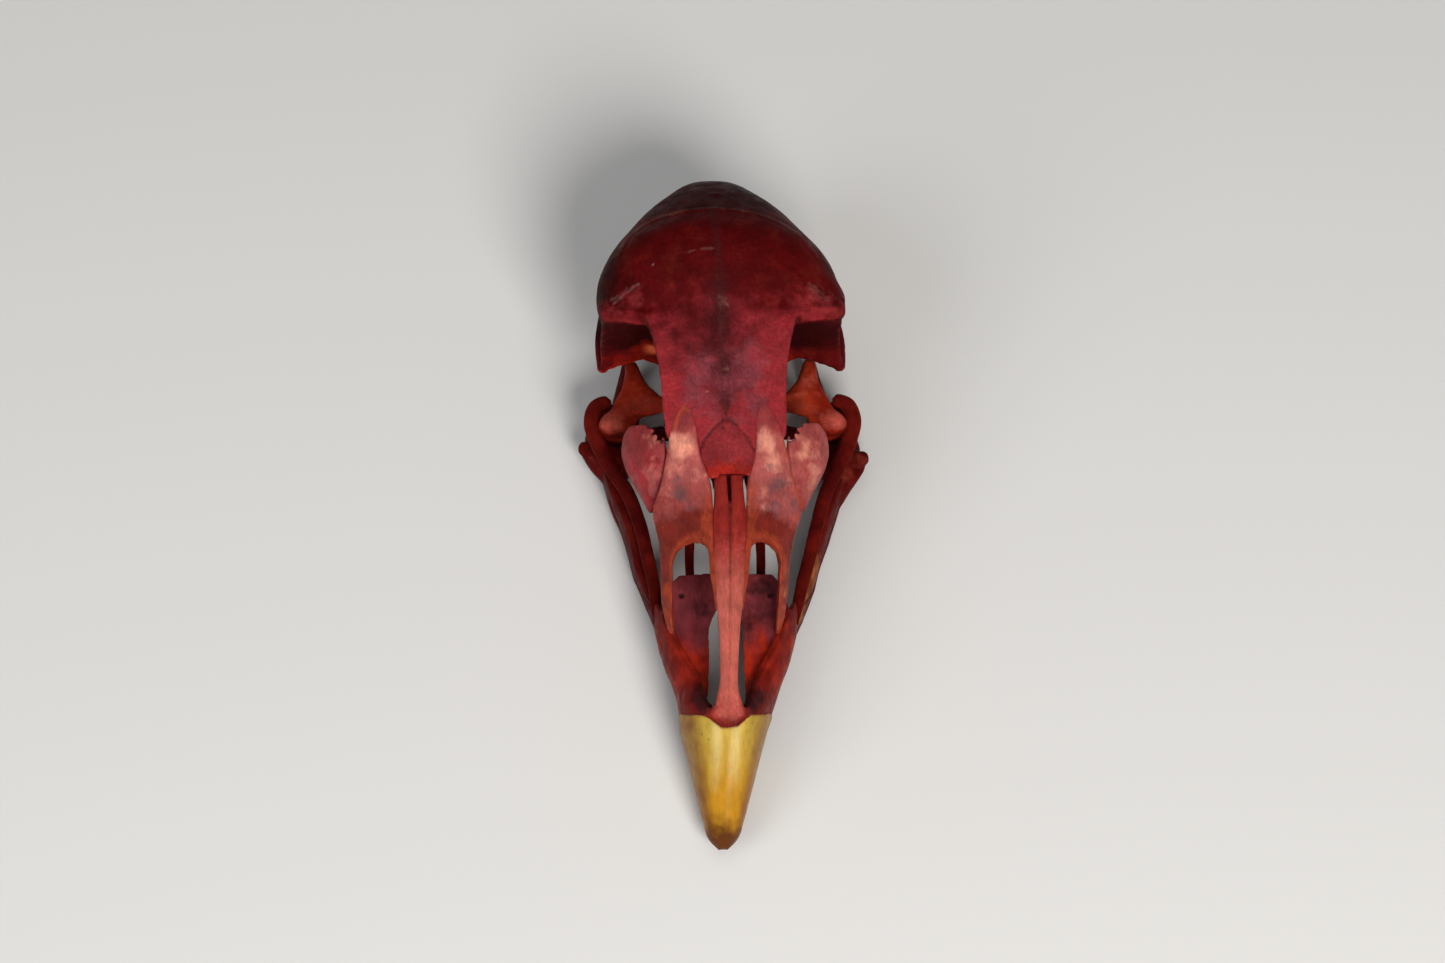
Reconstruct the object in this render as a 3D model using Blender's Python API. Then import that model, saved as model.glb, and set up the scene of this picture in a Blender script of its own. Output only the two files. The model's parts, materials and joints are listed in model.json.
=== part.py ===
"""Life-size skull of a pheasant-like bird, with its horn bill tip and its lower jaw in place.

The skull lies on the underside of its lower jaw. +Z is up, the bill points along -Y, the bird's
left side is +X, and the origin is on the floor under the middle of the skull. Bones are
described in millimetres by short tables of stations, which smooth curves run through.
"""

import math

import bmesh
import bpy
import numpy as np
from mathutils import Matrix, Vector

MM = 0.001

# Driving dimensions, in millimetres. Y is counted from the bill's hinge, near enough, and the
# finished solids move by MIDDLE_Y, so that the origin is under the middle of the whole skull.
MIDDLE_Y = 0.71
BILL_TIP_Y = -36.5
BILL_TIP_Z = 2.5
OCCIPUT_Y = 37.9
VERTEX_Z = 26.4
BRAINCASE_HALF_WIDTH = 13.4
FOREHEAD_HALF_WIDTH = 6.7
HINGE_Y = 0.5
HINGE_Z = 18.4
JAW_JOINT_Y = 12.4
JAW_JOINT_X = 11.4
JAW_JOINT_Z = 4.2
JUGAL_Z = 6.5
SEAM = 0.3
SHEATH_TOP_Y = -26.2
SHEATH_TOP_Z = 12.0
SHEATH_SIDE_Y = -22.5
SHEATH_SIDE_Z = 6.0
SEPTUM_THICKNESS = 1.2

# How finely the bones are fused, and the triangles each kind of bone is brought down to.
VOXEL = 0.30
FINE_VOXEL = 0.22
CRANIUM_TRIANGLES = 3000
UPPER_BILL_TRIANGLES = 2100
MANDIBLE_TRIANGLES = 1100
NASAL_TRIANGLES = 420
SHEATH_TRIANGLES = 420
LOWER_SHEATH_TRIANGLES = 260
QUADRATE_TRIANGLES = 320
LACRIMAL_TRIANGLES = 150
BAR_TRIANGLES = 120

CRIMSON = (0.33, 0.022, 0.022)
ROSE = (0.50, 0.085, 0.075)
SALMON = (0.66, 0.18, 0.11)
DARK_RED = (0.25, 0.022, 0.014)
HORN = (0.66, 0.40, 0.09)


# --- Curves and solids, all in millimetres -------------------------------------------------


def through(rows, count):
    """The rows carried on to `count` rows by one smooth curve, spaced by their first columns."""
    rows = np.asarray(rows, float)
    steps = np.linalg.norm(np.diff(rows[:, :3], axis=0), axis=1)
    at = np.concatenate([[0.0], np.cumsum(steps)])
    slope = np.gradient(rows, at, axis=0)
    wanted = np.linspace(0.0, at[-1], count)
    i = np.clip(np.searchsorted(at, wanted, side="right") - 1, 0, len(at) - 2)
    span = (at[i + 1] - at[i])[:, None]
    t = ((wanted - at[i])[:, None]) / span
    return (
        (2 * t**3 - 3 * t**2 + 1) * rows[i]
        + (t**3 - 2 * t**2 + t) * span * slope[i]
        + (3 * t**2 - 2 * t**3) * rows[i + 1]
        + (t**3 - t**2) * span * slope[i + 1]
    )


def skinned(rings):
    """A closed bmesh over rings of equal counts, with both ends filled and faces outward."""
    body = bmesh.new()
    loops = [[body.verts.new(point) for point in ring] for ring in rings]
    for low, high in zip(loops, loops[1:]):
        for i in range(len(low)):
            j = (i + 1) % len(low)
            body.faces.new((low[i], low[j], high[j], high[i]))
    body.faces.new(loops[0])
    body.faces.new(loops[-1])
    bmesh.ops.recalc_face_normals(body, faces=body.faces)
    return body


def unit(vectors):
    return vectors / np.linalg.norm(vectors, axis=-1, keepdims=True)


def slab(rows, facing=(0.0, 0.0, 1.0), steps=22, across=9):
    """A plate of bone between two edges.

    A row holds a point of each edge, the thickness and the crown, which is how far the middle
    stands above the line between the edges. `facing` says which face the edges lie in.
    """
    rows = through(rows, steps)
    first, second, thick, crown = rows[:, 0:3], rows[:, 3:6], rows[:, 6:7], rows[:, 7:8]
    along = np.gradient((first + second) / 2, axis=0)
    normal = unit(np.cross(along, second - first))
    normal *= np.sign(normal @ np.array(facing, float))[:, None]
    face, back = [], []
    for u in np.linspace(0.0, 1.0, across):
        bulge = 4 * u * (1 - u)
        edge = 1 - 0.45 * (2 * u - 1) ** 4
        point = first + (second - first) * u + normal * crown * bulge
        face.append(point)
        back.append(point - normal * thick * edge)
    return skinned(np.stack(face + back[::-1], axis=1))


def sweep(rows, up=(0.0, 0.0, 1.0), steps=20, sides=14):
    """A rod with round ends along a smooth path. A row holds a point, half width, half height."""
    rows = through(rows, steps)
    path, wide, high = rows[:, :3], rows[:, 3:4], rows[:, 4:5]
    along = unit(np.gradient(path, axis=0))
    side = unit(np.cross(along, np.array(up, float)))
    top = np.cross(side, along)
    turns = np.linspace(0.0, math.tau, sides, endpoint=False)

    def ring(i, size, ahead):
        centre = path[i] + along[i] * ahead * min(wide[i, 0], high[i, 0])
        return [
            centre + (side[i] * wide[i] * math.cos(a) + top[i] * high[i] * math.sin(a)) * size
            for a in turns
        ]

    domes = [(math.cos(a), math.sin(a)) for a in (math.radians(72), math.radians(38))]
    rings = [ring(0, size, -ahead) for size, ahead in domes]
    rings += [ring(i, 1.0, 0.0) for i in range(steps)]
    rings += [ring(-1, size, ahead) for size, ahead in domes[::-1]]
    return skinned(rings)


def barrel(rows, steps=30, sides=44, roundness=2.15):
    """A hollow-free shell along Y. A row holds 0, y, widest height, half width, rise, drop."""
    turns = np.linspace(0.0, math.tau, sides, endpoint=False)
    rings = []
    for _, y, z, wide, rise, drop in through(rows, steps):
        ring = []
        for a in turns:
            c, s = math.cos(a), math.sin(a)
            x = wide * math.copysign(abs(c) ** (2 / roundness), c)
            height = (rise if s > 0 else drop) * abs(s) ** (2 / roundness)
            ring.append((x, y, z + math.copysign(height, s)))
        rings.append(ring)
    return skinned(rings)


def arch(rows, steps=26, half=15):
    """A bill-shaped vault along Y. A row holds 0, y, edge height, half width, top, roof, wall.

    `top` and `roof` are the heights of the outside and of the hollow underside on the midline.
    """
    turns = np.linspace(0.0, math.pi, half)
    rings = []
    for _, y, edge, wide, top, roof, wall in through(rows, steps):
        outside = [
            (wide * math.cos(a), y, edge + (top - edge) * math.sin(a) ** 0.85) for a in turns
        ]
        inside = [
            ((wide - wall) * math.cos(a), y, edge + (roof - edge) * math.sin(a)) for a in turns
        ]
        rings.append(outside + inside[::-1])
    return skinned(rings)


def ellipsoid(centre, radii, turn=(0.0, 0.0, 0.0)):
    """A ball stretched to three radii, then turned by degrees about X, Y and Z."""
    body = bmesh.new()
    place = Matrix.Translation(centre)
    for axis, degrees in zip("XYZ", turn):
        place = place @ Matrix.Rotation(math.radians(degrees), 4, axis)
    place = place @ Matrix.Diagonal((*radii, 1.0))
    bmesh.ops.create_icosphere(body, subdivisions=4, radius=1.0, matrix=place)
    return body


def box(low, high):
    body = bmesh.new()
    size = Vector(high) - Vector(low)
    place = Matrix.Translation((Vector(high) + Vector(low)) / 2) @ Matrix.Diagonal((*size, 1.0))
    bmesh.ops.create_cube(body, size=1.0, matrix=place)
    return body


def trimmed(body, point, outward):
    """The body with all beyond a plane cut off and the cut filled."""
    cut = bmesh.ops.bisect_plane(
        body,
        geom=body.verts[:] + body.edges[:] + body.faces[:],
        plane_co=point,
        plane_no=outward,
        clear_outer=True,
    )
    rim = [item for item in cut["geom_cut"] if isinstance(item, bmesh.types.BMEdge)]
    bmesh.ops.contextual_create(body, geom=rim)
    bmesh.ops.triangulate(body, faces=[face for face in body.faces if len(face.verts) > 4])
    bmesh.ops.recalc_face_normals(body, faces=body.faces)
    return body


def mirrored(body):
    other = body.copy()
    bmesh.ops.scale(other, vec=(-1.0, 1.0, 1.0), verts=other.verts)
    bmesh.ops.reverse_faces(other, faces=other.faces)
    return other


def both(bodies):
    return bodies + [mirrored(body) for body in bodies]


# --- Objects -------------------------------------------------------------------------------


def clear_scene():
    for obj in list(bpy.data.objects):
        bpy.data.objects.remove(obj)


def finish_of(name, colour, roughness):
    material = bpy.data.materials.new(name)
    material.use_nodes = True
    shader = material.node_tree.nodes["Principled BSDF"]
    shader.inputs["Base Color"].default_value = (*colour, 1.0)
    shader.inputs["Roughness"].default_value = roughness
    shader.inputs["Metallic"].default_value = 0.0
    return material


def solid(name, bodies):
    """One object that holds copies of the bodies, at real size."""
    mesh = bpy.data.meshes.new(name)
    whole = bmesh.new()
    for body in bodies:
        piece = bpy.data.meshes.new("piece")
        body.to_mesh(piece)
        whole.from_mesh(piece)
        bpy.data.meshes.remove(piece)
    bmesh.ops.translate(whole, vec=(0.0, -MIDDLE_Y, 0.0), verts=whole.verts)
    bmesh.ops.scale(whole, vec=(MM, MM, MM), verts=whole.verts)
    whole.to_mesh(mesh)
    whole.free()
    obj = bpy.data.objects.new(name, mesh)
    bpy.context.scene.collection.objects.link(obj)
    return obj


def add_remesh(obj, voxel):
    fuse = obj.modifiers.new("Fuse", "REMESH")
    fuse.mode = "VOXEL"
    fuse.voxel_size = voxel * MM
    fuse.use_smooth_shade = True


def triangle_count(obj):
    graph = bpy.context.evaluated_depsgraph_get()
    mesh = obj.evaluated_get(graph).data
    return sum(len(polygon.vertices) - 2 for polygon in mesh.polygons)


def fused(name, bodies, material, triangles, cutters=(), voxel=VOXEL, relax=4):
    """The bodies grown into one bone, cut, smoothed, and brought down to a triangle count."""
    obj = solid(name, bodies)
    add_remesh(obj, voxel)
    for number, cutter in enumerate(cutters):
        tool = solid(f"{name}_cutter_{number}", [cutter])
        tool.hide_render = True
        tool.display_type = "WIRE"
        cut = obj.modifiers.new(f"Cut {number}", "BOOLEAN")
        cut.operation = "DIFFERENCE"
        cut.object = tool
    if cutters:
        add_remesh(obj, voxel)
    smooth = obj.modifiers.new("Relax", "SMOOTH")
    smooth.factor = 0.5
    smooth.iterations = relax
    bpy.context.view_layer.update()
    thin = obj.modifiers.new("Facets", "DECIMATE")
    thin.ratio = min(1.0, triangles / triangle_count(obj))
    obj.data.materials.append(material)
    return obj


def carved(bodies, cutters=()):
    """A body of millimetres again: the bodies fused, with the cutters taken out."""
    helpers = [solid("carving", bodies)]
    add_remesh(helpers[0], VOXEL)
    if cutters:
        helpers.append(solid("carving_tool", cutters))
        add_remesh(helpers[1], VOXEL)
        cut = helpers[0].modifiers.new("Carve", "BOOLEAN")
        cut.operation = "DIFFERENCE"
        cut.object = helpers[1]
    bpy.context.view_layer.update()
    graph = bpy.context.evaluated_depsgraph_get()
    body = bmesh.new()
    body.from_object(helpers[0], graph)
    bmesh.ops.scale(body, vec=(1 / MM, 1 / MM, 1 / MM), verts=body.verts)
    bmesh.ops.translate(body, vec=(0.0, MIDDLE_Y, 0.0), verts=body.verts)
    for helper in helpers:
        bpy.data.objects.remove(helper)
    return body


# --- Cranium: braincase, frontal roof, septum and rostrum, one fused bone ------------------


def braincase():
    """The brain's own dome, with the backs of the two orbits and the ear hollows taken out."""
    wide = BRAINCASE_HALF_WIDTH
    dome = barrel(
        [
            (0, 12.6, 18.4, 3.5, 3.0, 3.0),
            (0, 15.0, 17.8, 8.2, 5.3, 5.4),
            (0, 17.6, 17.8, 11.9, 7.2, 7.6),
            (0, 20.6, 18.2, wide - 0.1, 7.9, 10.4),
            (0, 23.6, 18.0, wide - 0.3, VERTEX_Z - 18.0, 12.2),
            (0, 26.6, 17.6, 12.0, 8.4, 12.4),
            (0, 29.6, 17.0, 10.2, 7.4, 11.4),
            (0, 32.2, 16.5, 8.2, 5.7, 10.2),
            (0, 34.6, 16.0, 5.9, 3.9, 8.0),
            (0, 36.7, 15.8, 3.6, 2.4, 4.6),
            (0, OCCIPUT_Y, 15.4, 1.3, 0.9, 1.8),
        ]
    )
    orbit_back = sweep([(10.5, 7.5, 2.0, 9.9, 9.9), (10.5, 7.7, 16.0, 10.2, 10.2),
                        (10.5, 7.4, 30.0, 9.9, 9.9)], up=(0, 1, 0), sides=40)
    under_temple = ellipsoid((11.0, 13.0, 4.5), (7.6, 9.6, 8.6))
    ear = ellipsoid((13.4, 22.4, 8.8), (3.6, 2.8, 3.6))
    return carved([dome], both([orbit_back, under_temple, ear]))


def frontal_roof():
    """The flat roof between the orbits, which flares back to the corners behind the eyes."""
    wide = FOREHEAD_HALF_WIDTH
    stations = [
        (wide - 0.3, 3.9, 19.6, 1.5, 0.3),
        (wide - 0.1, 5.6, 20.7, 1.7, 0.3),
        (wide, 9.0, 21.9, 1.9, 0.15),
        (wide + 0.4, 12.5, 23.1, 2.3, 0.3),
        (wide + 1.1, 15.2, 23.6, 2.6, 0.9),
        (wide + 3.6, 17.2, 23.0, 2.8, 2.0),
        (BRAINCASE_HALF_WIDTH - 0.4, 18.9, 21.6, 2.8, 3.2),
        (BRAINCASE_HALF_WIDTH - 0.3, 20.8, 20.6, 2.8, 4.7),
    ]
    return slab([(-x, y, z, x, y, z, t, crown) for x, y, z, t, crown in stations])


def forehead_plate():
    """The narrow plate that runs forward between the nasal bones to the bill's hinge."""
    stations = [
        (2.4, HINGE_Y, HINGE_Z, 1.5, 0.25),
        (3.0, HINGE_Y + 1.9, 19.3, 1.6, 0.3),
        (2.9, 4.6, 20.6, 1.8, 0.3),
        (2.5, 8.6, 22.2, 1.8, 0.1),
    ]
    return slab([(-x, y, z, x, y, z, t, crown) for x, y, z, t, crown in stations], steps=14)


def orbit_flange():
    """The thin sheet behind the eye, whose lower corner is the postorbital process."""
    return slab(
        [
            (7.6, 17.3, 21.5, 12.7, 18.1, 21.3, 1.6, 0.0),
            (7.6, 17.6, 18.4, 12.9, 17.8, 18.4, 1.4, 0.0),
            (7.7, 17.6, 15.6, 13.1, 17.0, 15.2, 1.2, 0.0),
            (8.1, 17.1, 13.4, 13.1, 15.9, 12.4, 1.0, 0.0),
        ],
        facing=(0.0, -1.0, 0.0),
        steps=14,
    )


def cranium(material):
    septum = slab(
        [
            (0, 1.2, 17.6, 0, -1.2, 9.3, SEPTUM_THICKNESS, 0),
            (0, 3.6, 19.4, 0, 3.0, 8.2, SEPTUM_THICKNESS, 0),
            (0, 8.0, 21.2, 0, 8.0, 7.5, SEPTUM_THICKNESS, 0),
            (0, 13.0, 22.0, 0, 13.0, 7.0, SEPTUM_THICKNESS, 0),
            (0, 18.0, 22.0, 0, 18.0, 6.6, SEPTUM_THICKNESS, 0),
        ],
        facing=(1.0, 0.0, 0.0),
    )
    bmesh.ops.translate(septum, vec=(SEPTUM_THICKNESS / 2, 0, 0), verts=septum.verts)
    roof_keel = sweep([(0, 2.2, 18.0, 1.2, 0.9), (0, 8.0, 20.4, 1.5, 1.3), (0, 14.0, 20.6, 2.4, 2.0)])
    rostrum = sweep(
        [(0, -2.0, 9.5, 0.7, 0.8), (0, 5.0, 8.1, 0.9, 1.0), (0, 12.0, 7.2, 1.2, 1.2),
         (0, 17.5, 6.8, 2.2, 1.6), (0, 22.0, 7.0, 4.0, 2.4)]
    )
    base_plate = ellipsoid((0, 26.4, 6.9), (7.4, 6.0, 2.4), (4, 0, 0))
    condyle = ellipsoid((0, 34.3, 7.0), (1.6, 1.5, 1.3))
    ear_wing = sweep(
        [(11.3, 24.8, 14.0, 1.6, 1.6), (10.7, 26.0, 10.2, 1.9, 1.6), (9.3, 27.2, 7.2, 1.7, 1.3)],
        up=(0, 1, 0),
    )
    cheek_spike = sweep(
        [(12.0, 21.8, 14.2, 1.3, 1.3), (12.9, 19.2, 12.8, 0.9, 0.9), (13.0, 16.6, 12.4, 0.8, 0.8)]
    )
    crest = sweep(
        [(0, 32.2, 21.8, 0.8, 0.6), (4.6, 31.6, 20.8, 0.8, 0.6), (8.4, 29.4, 18.2, 0.8, 0.6),
         (10.9, 26.8, 14.6, 0.8, 0.7)]
    )
    bodies = [braincase(), frontal_roof(), forehead_plate(), septum, roof_keel, rostrum,
              base_plate, condyle]
    bodies += both([orbit_flange(), ear_wing, cheek_spike, crest])
    fenestra = ellipsoid((0, 12.4, 13.4), (3.0, 2.3, 1.7), (-20, 0, 0))
    optic_hole = ellipsoid((0, 15.9, 12.2), (2.6, 1.1, 1.2))
    spinal_hole = sweep([(0, 39.0, 8.4, 2.9, 2.5), (0, 30.5, 12.6, 2.9, 2.5)])
    temple_slots = both([ellipsoid((14.2, 19.4, 16.4), (2.2, 1.0, 2.6), (-24, 0, 0))])
    nasal_beds = both([nasal_bed()])
    cutters = [fenestra, optic_hole, spinal_hole, *temple_slots, *nasal_beds]
    return fused("cranium", bodies, material, CRANIUM_TRIANGLES, cutters, relax=2)


# --- Nasal bones: the plates beside the bill's hinge, with two prongs round each nostril ---


def nasal_plate(grow=0.0, lift=0.0, depth=0.0):
    """The plate itself. `grow` widens it, `lift` raises it and `depth` thickens it, for its bed."""
    stations = [
        (4.05, 7.0, 21.8, 5.05, 7.0, 21.7, 0.9),
        (3.3, 5.9, 21.3, 5.75, 5.9, 21.0, 1.3),
        (3.1, 3.6, 20.1, 6.15, 3.6, 19.2, 1.5),
        (2.75, 1.2, 18.9, 6.75, 1.2, 17.6, 1.6),
        (1.95, -1.0, 18.3, 7.45, -0.9, 16.3, 1.6),
        (1.85, -3.6, 18.0, 8.0, -3.6, 14.9, 1.6),
        (1.8, -7.3, 17.5, 7.7, -7.3, 12.5, 1.5),
    ]
    return slab(
        [
            (ax - grow, ay, az + lift, bx + grow, by, bz + lift, t + depth, 0.5)
            for ax, ay, az, bx, by, bz, t in stations
        ],
        steps=20,
    )


def nasal_bed():
    """What the cranium leaves free for a nasal bone."""
    bed = nasal_plate(SEAM, 2.0, 5.0)
    tip = ellipsoid((4.55, 6.8, 21.0), (1.15, 0.95, 3.0))
    return carved([bed, tip])


def nasal(side, material):
    inner_prong = sweep(
        [(2.2, -5.4, 17.3, 0.5, 0.7), (1.88, -8.4, 16.9, 0.36, 0.6), (1.8, -11.8, 16.4, 0.33, 0.5)]
    )
    outer_prong = sweep(
        [(6.8, -5.6, 13.2, 0.9, 0.9), (6.75, -7.6, 12.0, 0.85, 0.9), (6.8, -9.3, 10.6, 0.85, 0.9)]
    )
    nostril_arch = ellipsoid((4.0, -11.0, 14.5), (1.95, 4.1, 5.5))
    bodies = [nasal_plate(), inner_prong, outer_prong]
    cutters = [nostril_arch]
    if side == "right":
        bodies = [mirrored(body) for body in bodies]
        cutters = [mirrored(body) for body in cutters]
    return fused(f"nasal_{side}", bodies, material, NASAL_TRIANGLES, cutters, FINE_VOXEL, 3)


# --- Upper bill: premaxilla and maxillae with the palate, and its horn sheath --------------

BILL_VAULT = [
    # 0, y, edge height, half width, top, underside on the midline, wall
    (0, BILL_TIP_Y, BILL_TIP_Z, 0.5, BILL_TIP_Z + 0.7, BILL_TIP_Z + 0.1, 0.15),
    (0, -35.6, 2.7, 1.4, 4.6, 3.0, 0.5),
    (0, -33.5, 3.3, 2.2, 6.8, 4.3, 0.8),
    (0, -31.3, 3.8, 2.8, 8.7, 5.2, 0.9),
    (0, -29.2, 4.3, 3.35, 10.2, 5.9, 1.0),
    (0, -27.0, 4.7, 3.9, 11.4, 6.4, 1.0),
    (0, -24.8, 5.1, 4.5, 12.5, 6.8, 1.1),
    (0, -22.6, 5.5, 5.05, 13.4, 7.0, 1.2),
    (0, -21.4, 5.8, 5.4, 13.8, 7.2, 1.3),
]


def sheath_plane():
    """A point of the plane at the sheath's rear edge, and its direction towards the skull."""
    rise = Vector((0, SHEATH_TOP_Y - SHEATH_SIDE_Y, SHEATH_TOP_Z - SHEATH_SIDE_Z))
    towards = Vector((0, rise.z, -rise.y)).normalized()
    return Vector((0, SHEATH_TOP_Y, SHEATH_TOP_Z)), towards


def upper_sheath(material):
    point, towards = sheath_plane()
    horn = trimmed(arch(BILL_VAULT), point, towards)
    return fused("upper_sheath", [horn], material, SHEATH_TRIANGLES, voxel=FINE_VOXEL, relax=2)


def nasal_bar():
    """The long strip of premaxilla that runs back over the nostrils to the hinge."""
    stations = [
        (1.5, HINGE_Y - SEAM, 18.0, 1.2),
        (1.5, -4.0, 17.8, 1.3),
        (1.2, -8.0, 17.3, 1.4),
        (1.2, -12.0, 16.8, 1.5),
        (1.15, -16.0, 16.0, 1.6),
        (1.15, -19.0, 15.1, 1.7),
        (1.2, -21.6, 14.0, 1.8),
        (1.6, -23.8, 12.9, 2.2),
        (2.6, -25.4, 12.0, 2.8),
    ]
    return slab([(-x, y, z, x, y, z, t, 0.45) for x, y, z, t in stations], steps=30, across=7)


def bill_rim():
    """The side of the bill from its front to the step at the corner of the mouth."""
    return slab(
        [
            (2.4, -22.6, 9.8, 4.9, -22.8, 5.5, 1.4, 0.3),
            (3.3, -20.0, 9.9, 5.6, -20.3, 5.8, 1.4, 0.3),
            (4.6, -17.0, 9.9, 6.5, -17.2, 6.0, 1.4, 0.3),
            (5.5, -14.2, 9.9, 7.3, -14.4, 6.3, 1.4, 0.3),
            (6.3, -11.6, 9.8, 8.0, -11.8, 6.6, 1.4, 0.2),
            (6.9, -10.0, 9.2, 8.0, -10.2, 6.9, 1.3, 0.1),
        ],
        facing=(1.0, 0.0, 0.3),
    )


def palate_shelf():
    """The floor of the nostril, from the midline slit out to the rim."""
    return slab(
        [
            (-0.2, -6.8, 8.5, 5.6, -6.8, 8.7, 0.9, 0.15),
            (-0.2, -9.4, 8.4, 6.2, -9.4, 8.6, 0.9, 0.15),
            (0.9, -11.2, 8.2, 6.7, -11.2, 8.4, 0.9, 0.1),
            (1.8, -12.8, 8.0, 6.7, -12.8, 8.2, 0.9, 0.0),
            (2.0, -17.0, 7.8, 5.6, -17.0, 8.0, 1.0, -0.2),
            (1.9, -20.6, 7.7, 4.6, -20.6, 7.9, 1.1, -0.2),
            (1.5, -23.2, 7.7, 3.6, -23.2, 7.9, 1.2, -0.2),
        ]
    )


def upper_bill(material):
    point, towards = sheath_plane()
    bodies = [arch(BILL_VAULT), nasal_bar(), *both([bill_rim(), palate_shelf()])]
    bodies = [trimmed(body, point + towards * SEAM, -towards) for body in bodies]
    nostril = sweep(
        [(1.75, -23.3, 11.0, 0.45, 2.6), (2.2, -21.4, 11.6, 0.9, 3.4), (2.9, -18.6, 12.6, 1.5, 4.4),
         (3.8, -14.0, 13.2, 2.2, 5.0)]
    )
    hidden_slit = sweep(
        [(0, -23.4, 8.8, 1.2, 2.6), (0, -18.0, 10.2, 1.7, 3.6), (0, -12.5, 11.0, 1.6, 3.6)]
    )
    palate_holes = both([ellipsoid((4.75, -9.2, 8.4), (0.5, 0.75, 2.0))])
    cutters = [hidden_slit, *both([nostril]), *palate_holes]
    return fused("upper_bill", bodies, material, UPPER_BILL_TRIANGLES, cutters, FINE_VOXEL, 3)


# --- Small bones in pairs, described on the +X side ----------------------------------------


def paired(name, side, bodies, material, triangles):
    if side == "right":
        bodies = [mirrored(body) for body in bodies]
    return fused(f"{name}_{side}", bodies, material, triangles, voxel=FINE_VOXEL, relax=2)


def lacrimal_bodies():
    """The rounded plate in front of the eye."""
    return [
        slab(
            [
                (7.95, -3.0, 12.3, 8.35, -2.9, 12.1, 0.7, 0.1),
                (7.95, -1.0, 14.3, 9.7, -0.6, 12.7, 0.9, 0.3),
                (7.45, 1.4, 16.4, 10.8, 2.0, 14.0, 1.1, 0.5),
                (7.15, 3.5, 17.9, 11.15, 4.4, 15.4, 1.1, 0.5),
                (7.35, 5.0, 18.8, 10.6, 5.9, 17.0, 1.0, 0.3),
                (8.2, 5.9, 18.9, 9.6, 6.3, 18.2, 0.8, 0.1),
            ]
        )
    ]


def quadrate_bodies():
    """The bone that hangs the lower jaw from the braincase."""
    body = ellipsoid((11.2, 12.6, 7.2), (2.15, 1.9, 2.0))
    foot = ellipsoid((JAW_JOINT_X, JAW_JOINT_Y, JAW_JOINT_Z + 1.3), (2.3, 1.5, 1.1))
    ear_arm = sweep(
        [(10.8, 13.0, 7.8, 1.1, 1.1), (9.8, 15.4, 9.9, 0.8, 0.8), (10.2, 18.2, 9.7, 1.0, 1.0)]
    )
    eye_arm = slab(
        [
            (9.7, 14.9, 10.4, 10.0, 12.0, 7.2, 1.3, 0.0),
            (7.9, 14.0, 11.0, 8.1, 12.0, 9.2, 1.0, 0.0),
            (6.2, 13.2, 11.5, 6.4, 11.8, 10.5, 0.8, 0.0),
            (4.9, 12.5, 11.8, 5.0, 11.8, 11.3, 0.7, 0.0),
        ],
        facing=(0.0, -1.0, 0.5),
        steps=12,
    )
    return [body, foot, ear_arm, eye_arm]


def jugal_bodies():
    """The slim cheek bar, which hooks round the quadrate at its rear end."""
    z = JUGAL_Z
    return [
        sweep(
            [
                (8.25, -9.8, z + 0.2, 0.5, 0.7),
                (8.8, -7.2, z, 0.55, 0.75),
                (9.8, -3.9, z, 0.6, 0.8),
                (10.7, 0.2, z, 0.6, 0.8),
                (11.7, 4.2, z, 0.6, 0.8),
                (13.1, 7.8, z, 0.65, 0.8),
                (14.3, 10.8, z, 0.65, 0.85),
                (14.8, 13.0, z, 0.65, 0.9),
                (14.1, 14.9, z, 0.65, 0.9),
                (12.8, 15.5, z, 0.55, 0.8),
            ],
            steps=34,
            sides=8,
        )
    ]


def palatine_bodies():
    """The slim strip of the palate, which spreads towards its rear end."""
    return [
        slab(
            [
                (3.3, -8.2, 6.6, 4.2, -8.2, 6.6, 0.7, 0.0),
                (3.4, -3.9, 6.2, 4.4, -3.9, 6.2, 0.7, 0.0),
                (3.1, 1.0, 6.0, 4.3, 1.0, 6.0, 0.7, 0.1),
                (2.2, 6.0, 5.6, 4.0, 6.0, 5.6, 0.8, 0.2),
                (1.7, 9.6, 5.3, 3.1, 9.9, 5.3, 0.9, 0.2),
            ]
        )
    ]


def pterygoid_bodies():
    """The short rod between the palate and the quadrate."""
    return [sweep([(2.7, 11.3, 5.4, 0.7, 0.7), (5.6, 11.5, 5.7, 0.65, 0.6), (8.4, 11.6, 6.0, 0.8, 0.7)])]


# --- Lower jaw -----------------------------------------------------------------------------


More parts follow.
